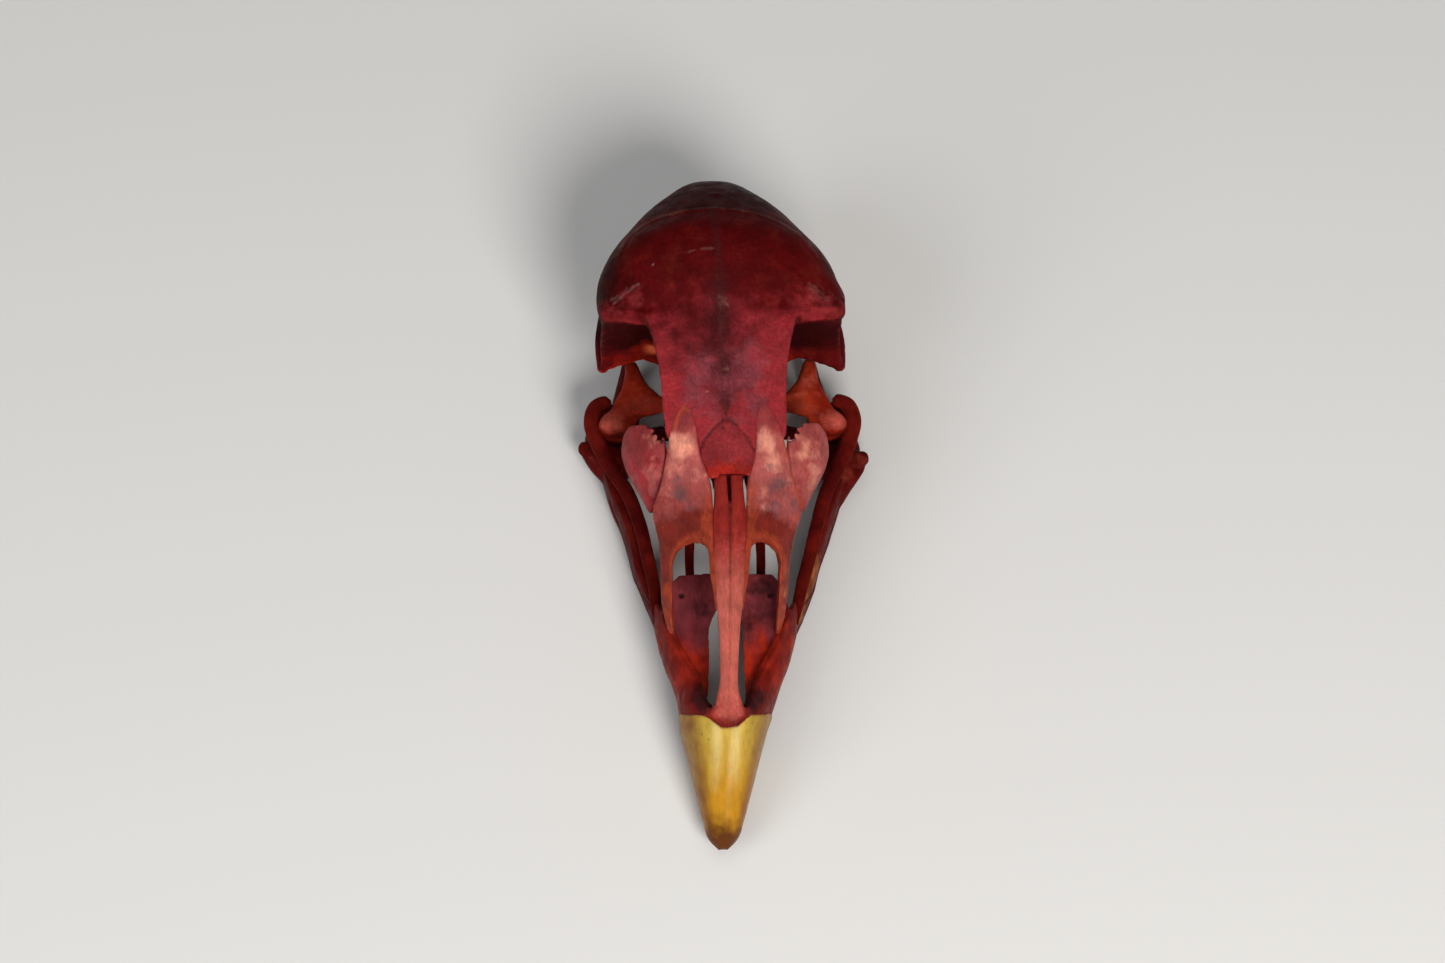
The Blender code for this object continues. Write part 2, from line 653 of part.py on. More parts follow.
def mandible(material):
    """Both jaw branches with their joint blocks, and the chin that the horn tip covers."""
    ramus = slab(
        [
            (3.7, -24.4, 4.3, 3.3, -24.4, 0.0, 1.6, 0.2),
            (5.0, -20.0, 4.6, 4.6, -20.0, 0.1, 1.6, 0.2),
            (6.5, -14.5, 4.6, 6.2, -14.5, 0.6, 1.6, 0.2),
            (8.1, -9.0, 4.8, 8.0, -9.0, 1.0, 1.6, 0.3),
            (10.0, -3.5, 5.1, 10.0, -3.5, 0.8, 1.7, 0.4),
            (11.5, 1.5, 5.4, 11.6, 1.5, 0.3, 1.8, 0.4),
            (12.9, 6.0, 4.7, 12.9, 6.0, 0.0, 2.0, 0.3),
            (13.8, 9.6, 3.8, 13.6, 9.6, 0.0, 2.4, 0.2),
        ],
        facing=(1.0, 0.0, 0.0),
        steps=36,
    )
    joint = ellipsoid((12.3, 11.4, 1.9), (2.7, 3.4, 2.0))
    knob = sweep([(13.0, 10.2, 2.6, 1.2, 1.1), (15.2, 10.1, 3.4, 0.8, 0.8)], up=(0, 0, 1))
    tail = sweep(
        [(12.2, 12.6, 1.4, 1.2, 1.6), (11.4, 16.4, 1.2, 1.1, 1.5), (10.7, 19.6, 1.3, 1.0, 1.5),
         (10.2, 21.6, 3.6, 0.7, 1.0)]
    )
    inner_spur = sweep([(11.4, 12.0, 2.4, 1.2, 1.1), (8.8, 12.9, 2.7, 0.9, 0.9), (6.8, 13.5, 3.2, 0.6, 0.6)])
    chin = slab(
        [
            (-3.2, -24.4, 1.6, 3.2, -24.4, 1.6, 1.6, -0.5),
            (-3.3, -23.0, 1.5, 3.3, -23.0, 1.5, 1.3, -0.5),
            (-3.0, -21.8, 1.3, 3.0, -21.8, 1.3, 0.9, -0.4),
        ],
        steps=10,
    )
    below_floor = box((-30, -60, -12), (30, 60, 0.0))
    bodies = [chin] + both([ramus, joint, knob, tail, inner_spur])
    return fused("mandible", bodies, material, MANDIBLE_TRIANGLES, [below_floor], FINE_VOXEL, 2)


def lower_sheath(material):
    """The horn tip of the lower jaw, a shallow scoop inside the edges of the upper one."""
    floor = 0.0
    stations = [
        (0, -34.2, 1.9, 0.4, 1.5, 1.85),
        (0, -33.0, 2.6, 1.25, 0.9, 2.0),
        (0, -31.0, 3.2, 2.0, 0.35, 2.0),
        (0, -28.8, 3.7, 2.65, floor, 2.1),
        (0, -26.6, 4.1, 3.2, floor, 2.1),
        (0, -24.7, 4.4, 3.75, floor, 2.0),
    ]
    turns = np.linspace(0.0, math.pi, 13)
    rings = []
    for _, y, edge, wide, bottom, hollow in through(stations, 18):
        outside = [
            (wide * math.cos(a), y, edge - (edge - bottom) * min(1.0, 1.12 * math.sin(a) ** 0.7))
            for a in turns
        ]
        inside = [((wide * 0.72) * math.cos(a), y, edge - (edge - hollow) * math.sin(a)) for a in turns]
        rings.append(outside + inside[::-1])
    scoop = skinned(rings)
    return fused("lower_sheath", [scoop], material, LOWER_SHEATH_TRIANGLES, voxel=FINE_VOXEL, relax=1)


def build():
    clear_scene()
    roof = finish_of("rose_bone", ROSE, 0.5)
    dark = finish_of("crimson_bone", CRIMSON, 0.45)
    pale = finish_of("salmon_bone", SALMON, 0.5)
    deep = finish_of("dark_red_bone", DARK_RED, 0.5)
    horn = finish_of("horn", HORN, 0.35)
    cranium(dark)
    upper_bill(roof)
    upper_sheath(horn)
    mandible(deep)
    lower_sheath(horn)
    for side in ("left", "right"):
        nasal(side, pale)
        paired("lacrimal", side, lacrimal_bodies(), pale, LACRIMAL_TRIANGLES)
        paired("quadrate", side, quadrate_bodies(), roof, QUADRATE_TRIANGLES)
        paired("jugal", side, jugal_bodies(), deep, BAR_TRIANGLES)
        paired("palatine", side, palatine_bodies(), deep, BAR_TRIANGLES)
        paired("pterygoid", side, pterygoid_bodies(), deep, BAR_TRIANGLES)


build()
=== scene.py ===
"""Looks for a life-size skull of a pheasant-like bird, its bone stained red, with yellow horn tips.

Every bone is grown from a few plates, rods and domes given by short tables of stations in
millimetres, fused, relaxed, and then given its relief: sutures, furrows, fibres, pores and worn
edges. The same steps leave soft masks on the mesh, which the materials turn into stains and
into painted shade and painted highlights.
"""

import json
import math

import bmesh
import bpy
import numpy as np
from mathutils import Matrix, Vector

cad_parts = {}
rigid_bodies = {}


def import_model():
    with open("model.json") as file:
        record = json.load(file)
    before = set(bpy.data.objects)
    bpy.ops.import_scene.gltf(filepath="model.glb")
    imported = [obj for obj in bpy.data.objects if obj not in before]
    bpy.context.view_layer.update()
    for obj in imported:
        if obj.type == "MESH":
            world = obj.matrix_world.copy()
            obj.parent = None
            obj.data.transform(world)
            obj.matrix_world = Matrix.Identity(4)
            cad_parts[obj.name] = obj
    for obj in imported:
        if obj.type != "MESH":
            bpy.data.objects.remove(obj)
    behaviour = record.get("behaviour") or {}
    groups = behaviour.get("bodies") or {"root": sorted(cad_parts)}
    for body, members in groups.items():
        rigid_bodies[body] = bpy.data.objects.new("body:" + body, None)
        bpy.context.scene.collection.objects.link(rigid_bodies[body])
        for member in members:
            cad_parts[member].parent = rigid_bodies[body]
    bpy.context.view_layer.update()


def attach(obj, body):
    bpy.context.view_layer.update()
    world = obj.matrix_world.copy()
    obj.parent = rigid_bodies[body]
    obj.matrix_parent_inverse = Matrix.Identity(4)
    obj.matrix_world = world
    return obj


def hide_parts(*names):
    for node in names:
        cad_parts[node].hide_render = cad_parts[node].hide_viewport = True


MM = 0.001
MIDDLE_Y = 0.71
PHOTO_WIDTH, PHOTO_HEIGHT = 1445, 963

# Where the main features sit, in millimetres. Y is counted from the bill's hinge.
BILL_TIP_Y = -36.5
BILL_TIP_Z = 2.5
OCCIPUT_Y = 37.9
VERTEX_Z = 26.4
BRAINCASE_HALF_WIDTH = 13.4
FOREHEAD_HALF_WIDTH = 6.7
HINGE_Y = 0.5
JAW_JOINT = (11.4, 12.4, 4.2)
JUGAL_Z = 6.5
SEPTUM_THICKNESS = 1.2

# How finely bones are fused, and the two steps of smoothing, out and back, that keep the volume.
BONE_VOXEL, FINE_VOXEL, SMALL_VOXEL = 0.23, 0.17, 0.14
SMOOTHING = (0.5, -0.53)
# How much thinner a plate is at its edges than in the middle.
EDGE_THINNING = 0.45
SUBSURFACE_WEIGHT = 0.35


# --- Curves and solids, in millimetres -----------------------------------------------------


def through(rows, count):
    """The rows carried on to `count` rows by one smooth curve, spaced by their first columns."""
    rows = np.asarray(rows, float)
    steps = np.linalg.norm(np.diff(rows[:, :3], axis=0), axis=1)
    at = np.concatenate([[0], np.cumsum(steps)])
    slope = np.gradient(rows, at, axis=0)
    wanted = np.linspace(0, at[-1], count)
    i = np.clip(np.searchsorted(at, wanted, side="right") - 1, 0, len(at) - 2)
    span = (at[i + 1] - at[i])[:, None]
    t = ((wanted - at[i])[:, None]) / span
    return (
        (2 * t**3 - 3 * t**2 + 1) * rows[i]
        + (t**3 - 2 * t**2 + t) * span * slope[i]
        + (3 * t**2 - 2 * t**3) * rows[i + 1]
        + (t**3 - t**2) * span * slope[i + 1]
    )


def skinned(rings):
    """A closed bmesh over rings of equal counts, with both ends filled and faces outward."""
    body = bmesh.new()
    loops = [[body.verts.new(point) for point in ring] for ring in rings]
    for low, high in zip(loops, loops[1:]):
        for i in range(len(low)):
            j = (i + 1) % len(low)
            body.faces.new((low[i], low[j], high[j], high[i]))
    body.faces.new(loops[0])
    body.faces.new(loops[-1])
    bmesh.ops.recalc_face_normals(body, faces=body.faces)
    return body


def unit(vectors):
    return vectors / np.maximum(np.linalg.norm(vectors, axis=-1, keepdims=True), 1e-9)


def slab(rows, facing=(0, 0, 1), steps=40, across=13, lift=0):
    """A plate of bone between two edges.

    A row holds a point of each edge, the thickness and the crown, which is how far the middle
    stands above the line between the edges. `facing` says which face the edges lie in, and
    `lift` raises that face, for a plate that cuts a bed for another.
    """
    rows = through(rows, steps)
    first, second, thick, crown = rows[:, 0:3], rows[:, 3:6], rows[:, 6:7], rows[:, 7:8]
    along = np.gradient((first + second) / 2, axis=0)
    normal = unit(np.cross(along, second - first))
    normal *= np.sign(normal @ np.array(facing, float))[:, None]
    face, back = [], []
    for u in np.linspace(0, 1, across):
        bulge = 4 * u * (1 - u)
        edge = 1 - EDGE_THINNING * (2 * u - 1) ** 4
        point = first + (second - first) * u + normal * crown * bulge
        face.append(point + normal * lift)
        back.append(point - normal * thick * edge)
    return skinned(np.stack(face + back[::-1], axis=1))


def level_slab(stations, **settings):
    """A plate across the midline. A station holds half width, y, z, thickness and crown."""
    return slab([(-x, y, z, x, y, z, t, crown) for x, y, z, t, crown in stations], **settings)


def sweep(rows, up=(0, 0, 1), steps=30, sides=20):
    """A rod with round ends along a smooth path. A row holds a point, half width, half height."""
    rows = through(rows, steps)
    path, wide, high = rows[:, :3], rows[:, 3:4], rows[:, 4:5]
    along = unit(np.gradient(path, axis=0))
    side = unit(np.cross(along, np.array(up, float)))
    top = np.cross(side, along)
    turns = np.linspace(0, math.tau, sides, endpoint=False)

    def ring(i, size, ahead):
        centre = path[i] + along[i] * ahead * min(wide[i, 0], high[i, 0])
        return [
            centre + (side[i] * wide[i] * math.cos(a) + top[i] * high[i] * math.sin(a)) * size
            for a in turns
        ]

    domes = [(math.cos(a), math.sin(a)) for a in (math.radians(72), math.radians(38))]
    rings = [ring(0, size, -ahead) for size, ahead in domes]
    rings += [ring(i, 1, 0) for i in range(steps)]
    rings += [ring(-1, size, ahead) for size, ahead in domes[::-1]]
    return skinned(rings)


def barrel(rows, steps=60, sides=80, roundness=2.15):
    """A dome along Y. A row holds 0, y, widest height, half width, rise and drop."""
    rings = []
    for _, y, z, wide, rise, drop in through(rows, steps):
        ring = []
        for a in np.linspace(0, math.tau, sides, endpoint=False):
            c, s = math.cos(a), math.sin(a)
            x = wide * math.copysign(abs(c) ** (2 / roundness), c)
            height = (rise if s > 0 else drop) * abs(s) ** (2 / roundness)
            ring.append((x, y, z + math.copysign(height, s)))
        rings.append(ring)
    return skinned(rings)


def ellipsoid(centre, radii, turn=(0, 0, 0)):
    """A ball stretched to three radii, then turned by degrees about X, Y and Z."""
    body = bmesh.new()
    place = Matrix.Translation(centre)
    for axis, degrees in zip("XYZ", turn):
        place = place @ Matrix.Rotation(math.radians(degrees), 4, axis)
    place = place @ Matrix.Diagonal((*radii, 1))
    bmesh.ops.create_icosphere(body, subdivisions=4, radius=1, matrix=place)
    return body


def box(low, high):
    body = bmesh.new()
    size = Vector(high) - Vector(low)
    place = Matrix.Translation((Vector(high) + Vector(low)) / 2) @ Matrix.Diagonal((*size, 1))
    bmesh.ops.create_cube(body, size=1, matrix=place)
    return body


def mirrored(body):
    other = body.copy()
    bmesh.ops.scale(other, vec=(-1, 1, 1), verts=other.verts)
    bmesh.ops.reverse_faces(other, faces=other.faces)
    return other


def both(bodies):
    return bodies + [mirrored(body) for body in bodies]


def sided(bodies, side):
    """Bodies drawn for the left side, mirrored where they are wanted on the right."""
    return bodies if side > 0 else [mirrored(body) for body in bodies]


# --- Random but repeatable fields, and soft masks ------------------------------------------


def ripple(points, size, seed):
    """Smooth values from -1 to 1, one per point, that change over about `size` millimetres."""
    table = np.random.default_rng(seed).uniform(-1, 1, (32, 32, 32))
    at = np.asarray(points) / np.asarray(size, float) + 64
    low = np.floor(at).astype(int)
    t = at - low
    t = t * t * (3 - 2 * t)
    total = np.zeros(len(at))
    for corner in np.ndindex(2, 2, 2):
        weight = np.prod(np.where(corner, t, 1 - t), axis=1)
        i, j, k = ((low + corner) % 32).T
        total += weight * table[i, j, k]
    return total


def fade(value, start, end):
    """0 at `start` and 1 at `end`, smooth between them and level beyond."""
    t = np.clip((value - start) / (end - start), 0, 1)
    return t * t * (3 - 2 * t)


def band(value, start, full, last, end):
    """0 outside `start` and `end`, 1 from `full` to `last`, smooth between them."""
    return fade(value, start, full) * fade(value, end, last)


def most(values):
    return np.maximum.reduce(values)


def lookup(value, pairs):
    """Values read off a line of straight pieces through the pairs."""
    return np.interp(value, *zip(*pairs))


def wander(points, size, reach, seed):
    """The points pushed about by a smooth field, which makes what is drawn on them uneven."""
    return points + reach * np.stack([ripple(points, size, seed + k) for k in range(3)], axis=1)


def spots(points, marks):
    """The strongest of several soft spots. A mark holds a centre, a radius and a strength."""
    return most([
        strength * fade(np.linalg.norm((points - centre) / radius, axis=1), 1, 0.15)
        for *centre, radius, strength in marks
    ])


def away(points, path):
    """How far each point is from a path of straight pieces, in as many dimensions as it has."""
    path = np.asarray(path, float)
    best = np.full(len(points), 1e9)
    for start, end in zip(path, path[1:]):
        along = end - start
        t = np.clip(((points - start) @ along) / (along @ along), 0, 1)
        best = np.minimum(best, np.linalg.norm(points - start - t[:, None] * along, axis=1))
    return best


def within(points, outline, blur):
    """1 inside a closed outline drawn from above, 0 outside, with a soft border."""
    inside = np.zeros(len(points), bool)
    x, y = points[:, 0], points[:, 1]
    for (ax, ay), (bx, by) in zip(outline, outline[1:] + outline[:1]):
        if ay != by:
            crosses = (ay > y) != (by > y)
            inside ^= crosses & (x < (bx - ax) * (y - ay) / (by - ay) + ax)
    edge = away(points[:, :2], outline + outline[:1])
    return np.where(inside, fade(edge, -blur, blur), 0.5 * fade(edge, blur, 0))


def line(points, path, width):
    """1 on a path, fading to 0 at `width` from it. A flat path is drawn from above."""
    path = np.asarray(path, float)
    return fade(away(points[:, : path.shape[1]], path), width, 0.25 * width)


# --- Fused bones ---------------------------------------------------------------------------


def listed(items, name, columns, kind=float):
    """One property of all the items, a row for each."""
    values = np.empty(len(items) * columns, kind)
    items.foreach_get(name, values)
    return values.reshape(-1, columns)


class Bone:
    """A closed mesh in millimetres, while its surface is being worked."""

    def __init__(self, mesh):
        self.mesh = mesh
        self.points = listed(mesh.vertices, "co", 3)
        self.edges = listed(mesh.edges, "vertices", 2, int)
        self.masks = {}

    def averaged(self, values):
        """Each vertex's value replaced by the mean of its neighbours' values."""
        first, second = self.edges.T
        count = len(self.points)
        share = np.bincount(first, minlength=count) + np.bincount(second, minlength=count)
        values = values.reshape(count, -1)
        total = [
            np.bincount(first, column[second], count) + np.bincount(second, column[first], count)
            for column in values.T
        ]
        return np.stack(total, axis=1) / np.maximum(share, 1)[:, None]

    def relax(self, rounds):
        """Smooths away the voxel steps and keeps the volume."""
        for _ in range(rounds):
            for factor in SMOOTHING:
                self.points += factor * (self.averaged(self.points) - self.points)
        return self

    def melt(self, rounds, where):
        """Rounds off creases where the mask is high."""
        for _ in range(rounds):
            shift = self.averaged(self.points) - self.points
            self.points += SMOOTHING[0] * where[:, None] * shift

    def normals(self):
        self.mesh.vertices.foreach_set("co", self.points.ravel())
        self.mesh.update()
        return listed(self.mesh.vertex_normals, "vector", 3)

    def upward(self, low, high):
        """0 to 1 as the surface turns upward. `low` and `high` are heights of its normal."""
        return fade(self.normals()[:, 2], low, high)

    def push(self, amount):
        """Moves each point along its normal by so many millimetres."""
        self.points += self.normals() * amount[:, None]

    def ridges(self, rounds=4, reach=0.05):
        """From -1 in hollows to 1 on sharp edges."""
        bend = ((self.points - self.averaged(self.points)) * self.normals()).sum(axis=1)
        for _ in range(rounds):
            bend = self.averaged(bend)[:, 0]
        return np.clip(bend / reach, -1, 1)


def shown(name, data):
    """A new object of the scene that holds the data."""
    obj = bpy.data.objects.new(name, data)
    bpy.context.scene.collection.objects.link(obj)
    return obj


def loose(bodies):
    """An object that holds copies of the bodies, for the modifiers to work on."""
    whole = bmesh.new()
    for body in bodies:
        piece = bpy.data.meshes.new("piece")
        body.to_mesh(piece)
        whole.from_mesh(piece)
        bpy.data.meshes.remove(piece)
    mesh = bpy.data.meshes.new("loose")
    whole.to_mesh(mesh)
    whole.free()
    return shown("loose", mesh)


def plain_mesh(obj, *helpers):
    """The object's evaluated mesh. The object and its helpers are removed."""
    bpy.context.view_layer.update()
    graph = bpy.context.evaluated_depsgraph_get()
    mesh = bpy.data.meshes.new_from_object(obj.evaluated_get(graph))
    for spent in (obj, *helpers):
        bpy.data.objects.remove(spent)
    return mesh


def without_crumbs(mesh, fewest=200):
    """The mesh without the loose bits of fewer points that cutters leave behind."""
    body = bmesh.new()
    body.from_mesh(mesh)
    left, crumbs = set(body.verts), []
    while left:
        edge = [left.pop()]
        bit = list(edge)
        while edge:
            near = {e.other_vert(v) for v in edge for e in v.link_edges} & left
            left -= near
            edge = list(near)
            bit += edge
        if len(bit) < fewest:
            crumbs += bit
    if crumbs:
        bmesh.ops.delete(body, geom=crumbs, context="VERTS")
        body.to_mesh(mesh)
    body.free()
    return mesh


def add_remesh(obj, voxel):
    fuse = obj.modifiers.new("Fuse", "REMESH")
    fuse.mode = "VOXEL"
    fuse.voxel_size = voxel


def fused(bodies, cutters=(), voxel=BONE_VOXEL, rounds=5):
    """The bodies grown into one bone, with the cutters taken out, and relaxed."""
    obj = loose(bodies)
    add_remesh(obj, voxel)
    helpers = []
    if cutters:
        tool = loose(cutters)
        add_remesh(tool, voxel)
        cut = obj.modifiers.new("Cut", "BOOLEAN")
        cut.operation = "DIFFERENCE"
        cut.solver = "EXACT"
        cut.object = tool
        add_remesh(obj, voxel)
        helpers.append(tool)
    return Bone(without_crumbs(plain_mesh(obj, *helpers))).relax(rounds)


def carved(bodies, cutters, voxel=BONE_VOXEL):
    """A body again: the bodies fused, with the cutters taken out."""
    body = bmesh.new()
    body.from_mesh(fused(bodies, cutters, voxel, rounds=0).mesh)
    return body


def settled(points):
    """The points as drying left them: the back leans to the right, the bill rolls a little."""
    x, y, z = points.T
    lean = 0.12 - 1.2 * fade(y, 2, 44) - 0.2 * fade(y, 32, 38)
    roll = 0.07 * (np.maximum(z, 10.5 * fade(y, -28, -20)) - 12) * fade(y, 8, -4)
    return np.stack([x + lean + roll, y, z], axis=1)


def place(bone, name, material, node, slot):
    """Makes a worked bone a finished piece that stands for a node of the frame."""
    points = (settled(bone.points) - (0, MIDDLE_Y, 0)) * MM
    mesh = bone.mesh
    mesh.vertices.foreach_set("co", points.ravel())
    for mask, values in bone.masks.items():
        layer = mesh.attributes.new(mask, "FLOAT", "POINT")
        layer.data.foreach_set("value", np.clip(values, 0, 1).astype(np.float32))
    mesh.shade_smooth()
    mesh.materials.clear()
    mesh.materials.append(material)
    mesh.name = name
    mesh.update()
    piece = shown(name, mesh)
    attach(piece, "root")
    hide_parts(node)


# --- Cranium -------------------------------------------------------------------------------

# Where the dome was scraped clean, seen from above: a path, its width and how strong it is.
SCRATCHES = [([(-11.5, 19), (-10.2, 19.8), (-8.7, 20.4)], 0.28, 0.22),
             ([(-9.9, 19.9), (-8.9, 20.35)], 0.36, 0.32),
             ([(-11.6, 19.6), (-10, 20.2)], 0.45, 0.16),
             ([(10, 20.2), (10.7, 19.9), (11.5, 19.6)], 0.90, 0.12),
             ([(11.2, 20.6), (12.1, 20.3)], 0.60, 0.12),
             ([(-3.6, 23.1), (-2.2, 23.5), (-0.5, 23.55)], 0.32, 0.18)]
# The forehead plate's outline, seen from above.
PLATE_OUTLINE = [(-2.3, 0.4), (-2.75, 1.2), (-3, 2.4), (-2.3, 3.6), (-1.3, 4.6), (-0.2, 5.5),
                 (0.2, 5.5), (1.1, 4.8), (2.1, 3.7), (3, 2.4), (2.8, 1.2), (2.3, 0.4)]
# The low ridge across the back of the dome, where the neck muscles ended.
NUCHAL_LINE = [(-10.8, 24.8), (-9.6, 27), (-7.6, 28.7), (-3.6, 29.5), (0.5, 29.6), (4.9, 29),
               (7.6, 28), (9.6, 26.2), (10.8, 24.2)]


def braincase():
    """The brain's own dome, with the backs of the two orbits and the ear hollows taken out."""
    wide = BRAINCASE_HALF_WIDTH
    dome = barrel([
        (0, 12.6, 18.4, 3.5, 3, 3), (0, 15, 17.8, 8.2, 5.3, 5.4), (0, 17.6, 17.8, 11.9, 7.2, 7.6),
        (0, 20.6, 18.2, wide - 0.1, 7.9, 10.4), (0, 23.6, 18, wide - 0.3, VERTEX_Z - 18, 12.2),
        (0, 26.6, 17.6, 11.9, 8.4, 12.4), (0, 29.6, 17, 9.9, 7.4, 11.4),
        (0, 32.2, 16.5, 8.1, 6.2, 10.2), (0, 34.6, 16, 5.9, 4.8, 8),
        (0, 36.6, 15.8, 3.5, 2.9, 4.6), (0, OCCIPUT_Y, 15.4, 1.2, 0.9, 1.8),
    ])
    orbit_back = sweep([(10.5, 7.5, 2, 9.9, 9.9), (10.5, 7.7, 16, 10.2, 10.2),
                        (10.5, 7.4, 30, 9.9, 9.9)], up=(0, 1, 0), sides=60)
    under_temple = ellipsoid((11, 13, 4.5), (7.6, 9.6, 8.6))
    ear = ellipsoid((13.4, 22.4, 8.8), (3.6, 2.8, 3.6))
    return carved([dome], both([orbit_back, under_temple, ear]))


def frontal_roof():
    """The flat roof between the orbits, which flares back to the corners behind the eyes."""
    wide, corner = FOREHEAD_HALF_WIDTH, BRAINCASE_HALF_WIDTH
    return level_slab([
        (wide - 0.3, 3.9, 19.6, 1.5, 0.3), (wide - 0.1, 5.6, 20.7, 1.7, 0.3),
        (wide, 9, 21.9, 1.9, 0.15), (wide + 0.4, 12.4, 23.1, 2.3, 0.3),
        (wide + 0.9, 14.8, 23.6, 2.6, 0.6), (wide + 1.6, 16.8, 23.7, 2.8, 0.9),
        (wide + 4, 18, 22.9, 2.8, 2), (corner - 0.3, 19.2, 21.5, 2.8, 3.4),
        (corner - 0.3, 20.8, 20.6, 2.8, 4.7),
    ])


def forehead_plate():
    """The narrow plate that runs forward between the nasal bones to the bill's hinge."""
    return level_slab([
        (2.25, HINGE_Y - 0.35, 18.35, 1.2, 0.25), (2.75, HINGE_Y + 0.7, 18.8, 1.4, 0.4),
        (3.02, HINGE_Y + 1.9, 19.4, 1.5, 0.4), (3.1, 4.6, 20.6, 1.8, 0.25), (3, 8.6, 22, 1.8, 0.1),
    ], steps=24)


def orbit_flange():
    """The thin sheet behind the eye, whose lower corner is the postorbital process."""
    return slab([
        (7.6, 17.3, 21.5, 12.7, 18.1, 21.3, 1.6, 0), (7.6, 17.6, 18.4, 12.9, 17.8, 18.4, 1.4, 0),
        (7.7, 17.6, 15.6, 13.1, 17, 15.2, 1.1, 0), (8.1, 17.1, 13.4, 13.1, 15.9, 12.4, 0.8, 0),
    ], facing=(0, -1, 0))


def nasal_plate(grow=0, lift=0, depth=0):
    """A nasal bone's plate. `grow` widens it, `lift` raises its face, `depth` lowers its back."""
    stations = [
        (4.1, 7.35, 21.5, 4.5, 7.35, 21.5, 0.8, 0), (3.55, 6.6, 21.3, 5.1, 6.6, 21.15, 1, 0.05),
        (3.25, 5.4, 20.9, 5.75, 5.4, 20.6, 1.2, 0.15), (3.2, 3.4, 20, 6.3, 3.6, 19.2, 1.3, 0.35),
        (2.82, 1.4, 19.1, 6.75, 1.8, 17.9, 1.3, 0.5), (2.2, -0.2, 18.5, 7.2, 0, 16.9, 1.3, 0.5),
        (2, -2.4, 18.1, 8.05, -2.3, 15.3, 1.3, 0.5), (2.02, -5, 17.8, 7.25, -5, 13.6, 1.3, 0.5),
        (1.8, -8, 17.3, 6.85, -8, 12.1, 1.2, 0.5), (1.6, -10.4, 16.9, 6.75, -10.4, 10.8, 1.1, 0.5),
        (1.4, -12.6, 16.3, 6.35, -12.6, 9.6, 0.9, 0.5),
        (1.2, -14.4, 15.8, 5.85, -14.4, 8.9, 0.6, 0.5),
    ]
    return slab([(ax - grow, ay + grow, az, bx + grow, by + grow, bz, t + depth, crown)
                 for ax, ay, az, bx, by, bz, t, crown in stations], lift=lift)


def cranium_bodies():
    half = SEPTUM_THICKNESS / 2
    profile = [(1.2, 17.6, -1.2, 9.3), (3.6, 19.4, 3, 8.2), (8, 21.2, 8, 7.5),
               (13, 22, 13, 7), (18, 22, 18, 6.6)]
    septum = slab([(half, ay, az, half, by, bz, SEPTUM_THICKNESS, 0) for ay, az, by, bz in profile],
                  facing=(1, 0, 0))
    roof_keel = sweep([(0, 2.2, 18, 1.2, 0.9), (0, 8, 20.4, 1.5, 1.3), (0, 14, 20.6, 2.4, 2)])
    rostrum = sweep([(0, -2, 9.5, 0.7, 0.8), (0, 5, 8.1, 0.9, 1), (0, 12, 7.2, 1.2, 1.2),
                     (0, 17.5, 6.8, 2.2, 1.6), (0, 22, 7, 4, 2.4)])
    base_plate = ellipsoid((0, 26.4, 6.9), (7.4, 6, 2.4), (4, 0, 0))
    condyle = ellipsoid((0, 34.3, 7), (1.6, 1.5, 1.3))
    ear_wing = sweep([(11.3, 24.8, 14, 1.6, 1.6), (10.7, 26, 10.2, 1.9, 1.6),
                      (9.3, 27.2, 7.2, 1.7, 1.3)], up=(0, 1, 0))
    cheek_spike = sweep([(12, 21.8, 14.2, 1.3, 1.3), (12.9, 19.2, 12.8, 0.9, 0.9),
                         (13, 16.6, 12.4, 0.7, 0.7)])
    crest = sweep([(0, 32.2, 22.1, 0.8, 0.6), (4.5, 31.6, 21.1, 0.8, 0.6),
                   (8.2, 29.3, 18.5, 0.8, 0.6), (10.7, 26.8, 14.6, 0.8, 0.7)])
    under_bar = level_slab([(3.3, 2.2, 17.2, 0.6, 0.2), (3.4, -2, 15.9, 0.6, 0.2),
                            (2.8, -5.6, 14.9, 0.6, 0.2)], steps=20)
    bodies = [braincase(), frontal_roof(), forehead_plate(), septum, roof_keel, rostrum,
              base_plate, condyle, under_bar]
    return bodies + both([orbit_flange(), ear_wing, cheek_spike, crest])


def cranium_cutters():
    fenestra = ellipsoid((0, 12.4, 13.4), (3, 2.3, 1.7), (-20, 0, 0))
    optic_hole = ellipsoid((0, 15.9, 12.2), (2.6, 1.1, 1.2))
    spinal_hole = sweep([(0, 39, 8.4, 2.9, 2.5), (0, 30.5, 12.6, 2.9, 2.5)])
    hollow = ellipsoid((0, 26, 16.6), (9, 7, 6.4))
    temple_slot = ellipsoid((14.2, 19.4, 16.4), (2.2, 1, 2.6), (-24, 0, 0))
    bed = nasal_plate(-0.2, 2, 5)
    return [fenestra, optic_hole, spinal_hole, hollow, *both([temple_slot, bed])]


